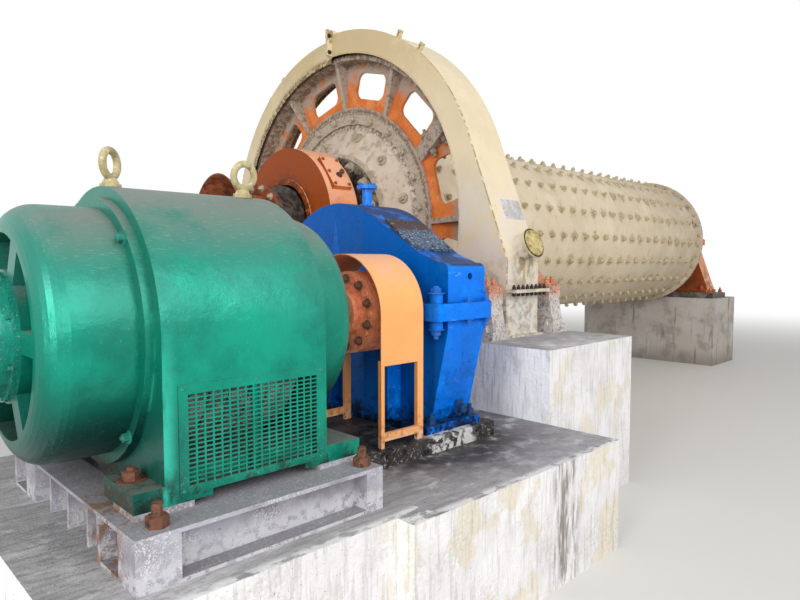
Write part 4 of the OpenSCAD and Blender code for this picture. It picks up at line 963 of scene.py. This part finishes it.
class GearJoint(bpy.types.Operator):
    """Set the bolts and dowels that hold the two halves of the girth gear together."""

    bl_idname = "mill.gear_joint"
    bl_label = "Gear joint bolts"
    bl_options = {"REGISTER", "UNDO"}

    def execute(self, context):
        split = math.radians(59.71)  # from the top of the mill to the joint of the two halves
        ribs = 0.075 - SUNK  # from the joint to the face of each joint rib
        bm = bmesh.new()
        for turned in (split, split + math.pi):
            along = Vector((0, -math.cos(turned), -math.sin(turned)))
            for circle, x in ((1.50, 0.622), (1.69, 0.60), (1.50, 0.752), (1.69, 0.775)):
                point = round_mill(circle, turned, x)[0]
                for way in (-1, 1):
                    nut(bm, on(point + along * way * ribs, along * way), 0.060, 0.03)
            dowel = round_mill(1.566, turned, 0.566)[0]
            disc(bm, on(dowel, (-1, 0, 0)), 0.022, -0.03, 0.012, 0.016, 12)
        soiled = painted_bolts("Soiled tie bolts", "#A19382")
        piece("gear_joint_bolts", bm, "drum", soiled)
        return {"FINISHED"}


# Bolts and fittings of the drive and the bearings


class CouplingBolts(bpy.types.Operator):
    """Set the nuts on the pins of the motor coupling and the bolts of the slow coupling."""

    bl_idname = "mill.coupling_bolts"
    bl_label = "Coupling bolts"
    bl_options = {"REGISTER", "UNDO"}

    def execute(self, context):
        x = middle("motor_coupling").x
        bm = bmesh.new()
        for way in (-1, 1):
            ring(bm, MOTOR, 0.205, 10, x + way * 0.113, way, 0.032, 0.0, 0.006, 0.6)
        nuts = painted_bolts("Greasy coupling nuts", "#82604C")
        piece("motor_coupling_nuts", bm, "motor_line", nuts)
        x = middle("slow_coupling").x
        bm = bmesh.new()
        for way in (-1, 1):
            ring(bm, PINION, 0.175, 8, x + way * (0.070 - SUNK), way, 0.040)
        piece("slow_coupling_bolts", bm, "pinion_line", rusty_bolts())
        return {"FINISHED"}


class BearingBolts(bpy.types.Operator):
    """Set the bolts of the main bearings and of the pinion bearings, and the oil plug."""

    bl_idname = "mill.bearing_bolts"
    bl_label = "Bearing bolts"
    bl_options = {"REGISTER", "UNDO"}

    def execute(self, context):
        bm = bmesh.new()
        for name, out in (("discharge_bearing_sole", -1), ("feed_bearing_sole", 1)):
            x, sole = middle(name).x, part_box(name)[1].z
            # half the distance along the mill, distance across it, height, width across flats, stud
            rows = (
                (0.11, 0.79, MILL.z + 0.050, 0.065, 0.03),
                (0.20, 0.95, sole + 0.060, 0.060, 0.03),
                (0.27, 1.12, sole, 0.060, 0.04),
            )
            for side in (-1, 1):
                for half, aside, height, across, stud in rows:
                    for dx in (-half, half):
                        nut(bm, on((x + dx, side * aside, height - SUNK), UP), across, stud)
            cap_face = x + out * (0.184 - SUNK)
            ring(bm, MILL, 0.432, 12, cap_face, out, 0.024, 15.0, 0.0)
        lid = Matrix.Translation((0, 0, MILL.z)) @ Matrix.Rotation(math.radians(52), 4, "X")
        lid_top = 0.796 - SUNK
        for dx in (-0.085, 0.085):
            for dy in (-0.16, 0, 0.16):
                nut(bm, lid @ shift(dx, dy, lid_top), 0.022, 0.0, 0.8)
        orange = painted_bolts("Orange painted bolts", "#B75A2C")
        piece("bearing_bolts", bm, "root", orange)
        bm = bmesh.new()
        for name in ("pinion_bearing_drive", "pinion_bearing_far"):
            low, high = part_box(name)
            cap, foot = PINION.z + 0.110 - SUNK, low.z + 0.070 - SUNK
            for side in (-1, 1):
                for x in (low.x + 0.09, high.x - 0.09):
                    nut(bm, on((x, PINION.y + side * 0.36, cap), UP), 0.050, 0.02)
                for x in (low.x + 0.030, high.x - 0.030):
                    nut(bm, on((x, PINION.y + side * 0.40, foot), UP), 0.032, 0.02)
        spattered = bpy.data.materials["Spattered orange paint"]
        piece("pinion_bearing_bolts", bm, "root", spattered)
        bm = bmesh.new()
        place = lid @ shift(0.02, -0.04, lid_top)
        disc(bm, place, 0.034, 0, 0.008, sides=24)
        disc(bm, place, 0.020, 0.007, 0.05, 0.017, 16)
        disc(bm, place, 0.026, 0.05, 0.066, 0.024, 6)
        piece("oil_plug", bm, "root", bpy.data.materials["Rusted steel bolts"])
        return {"FINISHED"}


class GearboxBolts(bpy.types.Operator):
    """Set the joint bolts, foot bolts and plugs of the gearbox and the bolts of its covers."""

    bl_idname = "mill.gearbox_bolts"
    bl_label = "Gearbox bolts"
    bl_options = {"REGISTER", "UNDO"}

    def execute(self, context):
        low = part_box("gearbox_lower_housing")[0]
        x0, x1 = -1.13, -0.53
        y0, y1 = MOTOR.y - 0.400, PINION.y + 0.720
        flange = 0.053 - SUNK
        boss_top, boss_foot = 0.113 - SUNK, 0.108 - SUNK
        bm = bmesh.new()
        for x in (x0 + 0.100, x1 - 0.068):
            for y in (y0 + 0.035, (MOTOR.y + PINION.y) / 2, y1 - 0.025):
                nut(bm, on((x, y, MOTOR.z + boss_top), UP), 0.060, 0.010, high=0.5)
                nut(bm, on((x, y, MOTOR.z - boss_foot), DOWN), 0.056, 0.022, high=0.6)
        for x in ((x0 + x1) / 2 + 0.03, x1 - 0.09):
            nut(bm, on((x, y0 - 0.030, MOTOR.z + flange), UP), 0.036, 0.006, high=0.5)
            nut(bm, on((x, y0 - 0.030, MOTOR.z - flange), DOWN), 0.036, 0.010, high=0.6)
        for line in (MOTOR, PINION):
            for x, way in ((x0, -1), (x1, 1)):
                ring(bm, line, 0.118, 6, x - way * SUNK, way, 0.026, 30.0, 0.0)
        blue = painted_bolts("Blue painted bolts", "#1768C4")
        piece("gearbox_bolts", bm, "root", blue)
        bm = bmesh.new()
        cover = middle("gearbox_inspection_cover")
        cover.x = (x0 + 0.15 + x1 - 0.11) / 2
        tilt = Matrix.Translation(cover) @ Matrix.Rotation(gearbox_slope(), 4, "X")
        for dx in (-0.145, 0, 0.145):
            for dy in (-0.155, 0.155):
                nut(bm, tilt @ shift(dx, dy, 0.008 - SUNK), 0.019, high=0.5)
        dusty = painted_bolts("Dusty cover bolts", "#4E5963")
        piece("gearbox_cover_bolts", bm, "root", dusty)
        bm = bmesh.new()
        for x in (x0 + 0.12, x1 - 0.10):
            nut(bm, on((x, y0 + 0.095, low.z + 0.050 - SUNK), UP), 0.050, 0.03)
        nut(bm, on((x1 - 0.200, y0 + 0.101 - SUNK, low.z + 0.112), (0, -1, 0)), 0.055, 0.0, 0.8)
        piece("gearbox_plugs", bm, "root", painted_bolts("Oily blue bolts", "#16406F"))
        spot, top = middle("gearbox_breather"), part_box("gearbox_breather")[1].z - SUNK
        bm = bmesh.new()
        for k in range(6):
            a = math.radians(60 * k)
            nut(bm, on((spot.x + 0.056 * math.cos(a), spot.y + 0.056 * math.sin(a), top), UP), 0.018)
        piece("breather_bolts", bm, "root", blue)
        return {"FINISHED"}


def gearbox_slope():
    """The lean of the gearbox's sloping top in radians, from the places of its two ends."""
    dome, turned = 0.720, math.radians(56)
    high = (PINION.y - dome * math.cos(turned), PINION.z + dome * math.sin(turned))
    low = (MOTOR.y - 0.170, PINION.z + 0.360)
    return math.atan2(high[1] - low[1], high[0] - low[0])


# Fittings of the gear guard


def guard_side():
    """The fold of the guard's drive side, and the ways up and out of the sheet above it."""
    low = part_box("gear_guard_drive_side")[0]
    fold = Vector((0, -2.345, low.z + 0.265))
    drop, sheet_r = MILL.z - fold.z, 2.055
    lean = math.acos(sheet_r / math.hypot(fold.y, drop)) - math.atan2(drop, -fold.y)
    up = Vector((0, math.sin(lean), math.cos(lean)))
    return fold, up, Vector((0, -up.z, up.y))


def on_guard(x, up_by, out_by):
    """A place on the leaning sheet, with X along the mill and Y up the sheet."""
    fold, up, out = guard_side()
    turn = Matrix((Vector((1, 0, 0)), up, out)).transposed().to_4x4()
    return Matrix.Translation(fold + Vector((x, 0, 0)) + up * up_by + out * out_by) @ turn


class GuardBolts(bpy.types.Operator):
    """Set the bolts of the guard's joints, above the pier and at its top."""

    bl_idname = "mill.guard_bolts"
    bl_label = "Guard bolts"
    bl_options = {"REGISTER", "UNDO"}

    def execute(self, context):
        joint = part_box("gear_guard_drive_side")[0].z
        flange = 0.014 - SUNK
        bm = bmesh.new()
        # bolts, place of the first along the mill, pitch, distance across the mill
        for number, first, pitch, y in ((8, 0.475, 0.065, -2.400), (6, 0.485, 0.075, 1.94)):
            for k in range(number):
                x = first + pitch * k
                nut(bm, on((x, y, joint + flange), UP), 0.030, 0.014)
                nut(bm, on((x, y, joint - flange), DOWN), 0.030, 0.004)
        for x, z in ((0.408, 4.166), (0.408, 4.338), (0.56, 4.374), (0.70, 4.374), (0.84, 4.374)):
            nut(bm, on((x, -flange, z), (0, -1, 0)), 0.026, 0.006)
            nut(bm, on((x, flange, z), (0, 1, 0)), 0.026, 0.012)
        piece("guard_bolts", bm, "root", painted_bolts("Greasy black bolts", "#38302A"))
        return {"FINISHED"}


class GuardEars(bpy.types.Operator):
    """Set the lifting ears on the rim of the guard."""

    bl_idname = "mill.guard_ears"
    bl_label = "Guard ears"
    bl_options = {"REGISTER", "UNDO"}

    def execute(self, context):
        long, thick, tall, apart = 0.040, 0.010, 0.075, 0.017
        bm = bmesh.new()
        for rim, side in ((2.055, 1), (1.995, -1)):
            for angle in (28.77, 38.25):
                point, out = round_mill(rim - 0.004, math.radians(side * angle), 0.50)
                place = on(point, out)
                for dy in (-apart, apart):
                    block(bm, place @ shift(0, dy, 0), (long, thick, tall), 0.003)
                block(bm, place @ shift(0, 0, 0.052), (long, 2 * apart + thick, thick), 0.003)
        piece("guard_ears", bm, "root", painted_bolts("Cream painted ears", "#D8C798"))
        return {"FINISHED"}


class BarePlate(bpy.types.Operator):
    """Set the blank plate on the guard, with a rivet in each corner."""

    bl_idname = "mill.bare_plate"
    bl_label = "Bare plate"
    bl_options = {"REGISTER", "UNDO"}

    def execute(self, context):
        s = context.scene.mill_sizes
        along, up_by, thick, margin = 0.755, 0.4755, 0.003, 0.012
        bm = bmesh.new()
        block(bm, on_guard(along, up_by, -SUNK), (s.plate_width, s.plate_height, thick), 0.0008)
        place = on_guard(along, up_by, 0)
        for x in (-1, 1):
            for y in (-1, 1):
                corner = shift(x * (s.plate_width / 2 - margin), y * (s.plate_height / 2 - margin), 0)
                disc(bm, place @ corner, 0.006, 0.002, 0.0055, 0.003, 10)
        piece("bare_plate", bm, "root", bare_plate(), 40)
        return {"FINISHED"}


class SightPort(bpy.types.Operator):
    """Set the gasket and the bolted lid on the guard's sight port."""

    bl_idname = "mill.sight_port"
    bl_label = "Sight port"
    bl_options = {"REGISTER", "UNDO"}

    def execute(self, context):
        up_by = (0.363 - 0.265) / guard_side()[1].z
        place = on_guard(0.713, up_by, 0.131)
        bm = bmesh.new()
        disc(bm, place, 0.1305, -0.004, 0.003, sides=48)
        piece("port_gasket", bm, "root", rubber_seal(), 40)
        bm = bmesh.new()
        disc(bm, place, 0.118, 0.0025, 0.010, 0.114, 48)
        disc(bm, place, 0.088, 0.0095, 0.016, 0.082, 48)
        for k in range(8):
            a = math.radians(22.5 + 45 * k)
            nut(bm, place @ shift(0.102 * math.cos(a), 0.102 * math.sin(a), 0.0095), 0.018, 0.004)
        piece("port_lid", bm, "root", soiled_lid(), 40)
        return {"FINISHED"}


# Inside and on the motor


def motor_ends():
    """Where the two end walls of the motor's housing stand along the mill."""
    low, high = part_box("motor_frame")
    return low.x + 0.120, high.x - 0.200


class StatorCore(bpy.types.Operator):
    """Set the stator core and the stays that show through the slots of the motor."""

    bl_idname = "mill.stator_core"
    bl_label = "Stator core"
    bl_options = {"REGISTER", "UNDO"}

    def execute(self, context):
        x0, x1 = motor_ends()
        packets, vent, end = 5, 0.014, 0.150
        pitch = (x1 - x0 - 2 * end) / packets
        bm = bmesh.new()
        for k in range(packets):
            start = x0 + end + k * pitch
            hoop(bm, MOTOR, 0.505, 0.600, start, start + pitch - vent)
        for x in (x0 + 0.085, x1 - 0.145):
            hoop(bm, MOTOR, 0.520, 0.575, x, x + 0.060)
        piece("stator_core", bm, "root", core_steel(), 40)
        low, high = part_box("motor_grille_front")
        margin = 0.02
        bm = bmesh.new()
        for side in (-1, 1):
            foot = Matrix.Translation(((low.x + high.x) / 2, MOTOR.y + side * 0.624, low.z + margin))
            block(bm, foot, (0.040, 0.012, high.z - low.z - 2 * margin), 0.002)
        piece("grille_stays", bm, "root", bpy.data.materials["Sea green hammer enamel"])
        return {"FINISHED"}


class MotorBolts(bpy.types.Operator):
    """Set the bolts of the bells, the feet, the grilles and the slip ring cover."""

    bl_idname = "mill.motor_bolts"
    bl_label = "Motor bolts"
    bl_options = {"REGISTER", "UNDO"}

    def execute(self, context):
        s = context.scene.mill_sizes
        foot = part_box("motor_frame")[0].z
        x0, x1 = motor_ends()
        bm = bmesh.new()
        ring(bm, MOTOR, 0.569, 4, x0 - 0.040 + SUNK, -1, 0.032, 45.0, 0.006)
        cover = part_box("slip_ring_housing")[1].x
        ring(bm, MOTOR, 0.255, 8, cover - 0.024 + SUNK, -1, 0.016, 22.5, 0.0)
        low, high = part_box("motor_grille_front")
        for side, y in ((-1, low.y), (1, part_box("motor_grille_back")[1].y)):
            for x in (low.x + 0.018, (low.x + high.x) / 2, high.x - 0.018):
                for z in (low.z + 0.014, high.z - 0.016):
                    disc(bm, on((x, y - side * 0.0003, z), (0, side, 0)), 0.008, 0, 0.005, 0.005, 12)
        piece("motor_bolts", bm, "root", painted_bolts("Green painted bolts", "#2A8774"))
        bm = bmesh.new()
        top, rail = foot + 0.080 - SUNK, foot - 0.025 - SUNK
        for side in (-1, 1):
            for x in (x0 - 0.06, x1 + 0.06):
                nut(bm, on((x, MOTOR.y + side * 0.47, top), UP), 0.062, 0.014, 1.2, 0.6)
            for x in (x0 - 0.067, x1 + 0.143):
                nut(bm, on((x, MOTOR.y + side * 0.725, rail), UP), s.anchor_across, 0.046, 0.0, 0.6)
        piece("anchor_bolts", bm, "root", bpy.data.materials["Rusted steel bolts"])
        return {"FINISHED"}


# The stage


def lay_floor():
    """A wide pale floor that turns white for the camera far from the object."""
    bm = bmesh.new()
    bmesh.ops.create_grid(bm, x_segments=1, y_segments=1, size=150.0)
    mesh = bpy.data.meshes.new("Floor")
    bm.to_mesh(mesh)
    bm.free()
    made = bpy.data.objects.new("Floor", mesh)
    bpy.context.scene.collection.objects.link(made)
    f = Finish("Pale studio floor", "#DEDDDA", 0.85)
    far = f.radius((3.4, -0.5, 0), 7.0, 20.0, False)
    path = f.add("LightPath").outputs
    seen = f.add("Math", {0: path["Is Camera Ray"], 1: path["Is Glossy Ray"]}, operation="MAXIMUM")
    white = f.add("Emission", {"Color": WHITE, "Strength": 1.0})
    ends = {0: f.both(far, seen.outputs[0]), 1: f.shader.outputs[0], 2: white.outputs[0]}
    f.tree.links.new(f.add("MixShader", ends).outputs[0], f.output.inputs["Surface"])
    made.data.materials.append(f.done())


def light_world():
    """Even white light, plain white where the camera, a reflection or clear matter shows it."""
    world = bpy.data.worlds.new("Studio")
    bpy.context.scene.world = world
    world.use_nodes = True
    tree = world.node_tree
    tree.nodes.clear()
    path = add_node(tree, "LightPath").outputs
    seen = path["Is Camera Ray"]
    for ray in ("Is Glossy Ray", "Is Transmission Ray"):
        seen = add_node(tree, "Math", {0: seen, 1: path[ray]}, operation="MAXIMUM").outputs[0]
    soft = add_node(tree, "Background", {"Color": WHITE, "Strength": 0.5})
    plain = add_node(tree, "Background", {"Color": WHITE, "Strength": 1.0})
    mix = add_node(tree, "MixShader", {0: seen, 1: soft.outputs[0], 2: plain.outputs[0]})
    add_node(tree, "OutputWorld", {"Surface": mix.outputs[0]})


def hang_lamp(name, place, aim, wide, high, power):
    """A large soft lamp that looks at a point of the object."""
    data = bpy.data.lights.new(name, "AREA")
    data.shape = "RECTANGLE"
    data.size, data.size_y = wide, high
    data.energy = power
    made = bpy.data.objects.new(name, data)
    bpy.context.scene.collection.objects.link(made)
    made.location = place
    made.rotation_euler = (Vector(aim) - Vector(place)).to_track_quat("-Z", "Y").to_euler()


def set_camera(place, yaw, pitch, lens):
    """The camera, turned by yaw from +X towards +Y and by pitch up, in degrees."""
    yaw, pitch = math.radians(yaw), math.radians(pitch)
    ahead = Vector((math.cos(yaw) * math.cos(pitch), math.sin(yaw) * math.cos(pitch), math.sin(pitch)))
    camera = bpy.data.objects.new("Camera", bpy.data.cameras.new("Camera"))
    bpy.context.scene.collection.objects.link(camera)
    camera.data.sensor_width = 36.0
    camera.data.lens = lens
    camera.data.clip_end = 200.0
    camera.location = place
    camera.rotation_euler = ahead.to_track_quat("-Z", "Y").to_euler()
    bpy.context.scene.camera = camera


class Stage(bpy.types.Operator):
    """Lay the pale floor, light the object and set the camera where the photograph was taken."""

    bl_idname = "mill.stage"
    bl_label = "Stage"
    bl_options = {"REGISTER", "UNDO"}

    def execute(self, context):
        lay_floor()
        light_world()
        # name, place, the point it looks at, width, height and power in watts
        for lamp in (
            ("Window light", (1.0, -15.0, 9.0), (2.6, -0.5, 1.4), 9.0, 9.0, 760),
            ("Front light", (-8.5, -13.0, 6.0), (-0.5, -1.5, 1.4), 7.0, 7.0, 560),
            ("Side light", (-14.0, -6.5, 5.0), (-1.0, -1.5, 1.8), 3.6, 9.0, 820),
        ):
            hang_lamp(*lamp)
        set_camera((-3.873, -5.489, 1.909), yaw=45.69, pitch=-3.44, lens=28.26)
        context.scene.view_settings.view_transform = "Standard"
        return {"FINISHED"}


STEPS = (
    Foundations, MotorFinish, GearboxFinish, MillFinish, LinerBolts, DrumBolts, GearJoint,
    CouplingBolts, BearingBolts, GuardBolts, GuardEars, BarePlate, SightPort, GearboxBolts,
    StatorCore, MotorBolts, Stage,
)


class MILL_PT_steps(bpy.types.Panel):
    """The steps that dress the mill, with their colours and sizes."""

    bl_label = "Ball mill"
    bl_space_type = "VIEW_3D"
    bl_region_type = "UI"
    bl_category = "Ball mill"

    def draw(self, context):
        for step in STEPS:
            self.layout.operator(step.bl_idname)
        for group in (context.scene.mill_colours, context.scene.mill_sizes):
            for name in type(group).__annotations__:
                self.layout.prop(group, name)


CLASSES = (MillColours, MillSizes, *STEPS, MILL_PT_steps)


def register():
    for kind in CLASSES:
        bpy.utils.register_class(kind)
    bpy.types.Scene.mill_colours = bpy.props.PointerProperty(type=MillColours)
    bpy.types.Scene.mill_sizes = bpy.props.PointerProperty(type=MillSizes)


def unregister():
    del bpy.types.Scene.mill_sizes
    del bpy.types.Scene.mill_colours
    for kind in reversed(CLASSES):
        bpy.utils.unregister_class(kind)


def main():
    register()
    for step in STEPS:
        group, name = step.bl_idname.split(".")
        getattr(getattr(bpy.ops, group), name)()


if __name__ == "__main__":
    main()
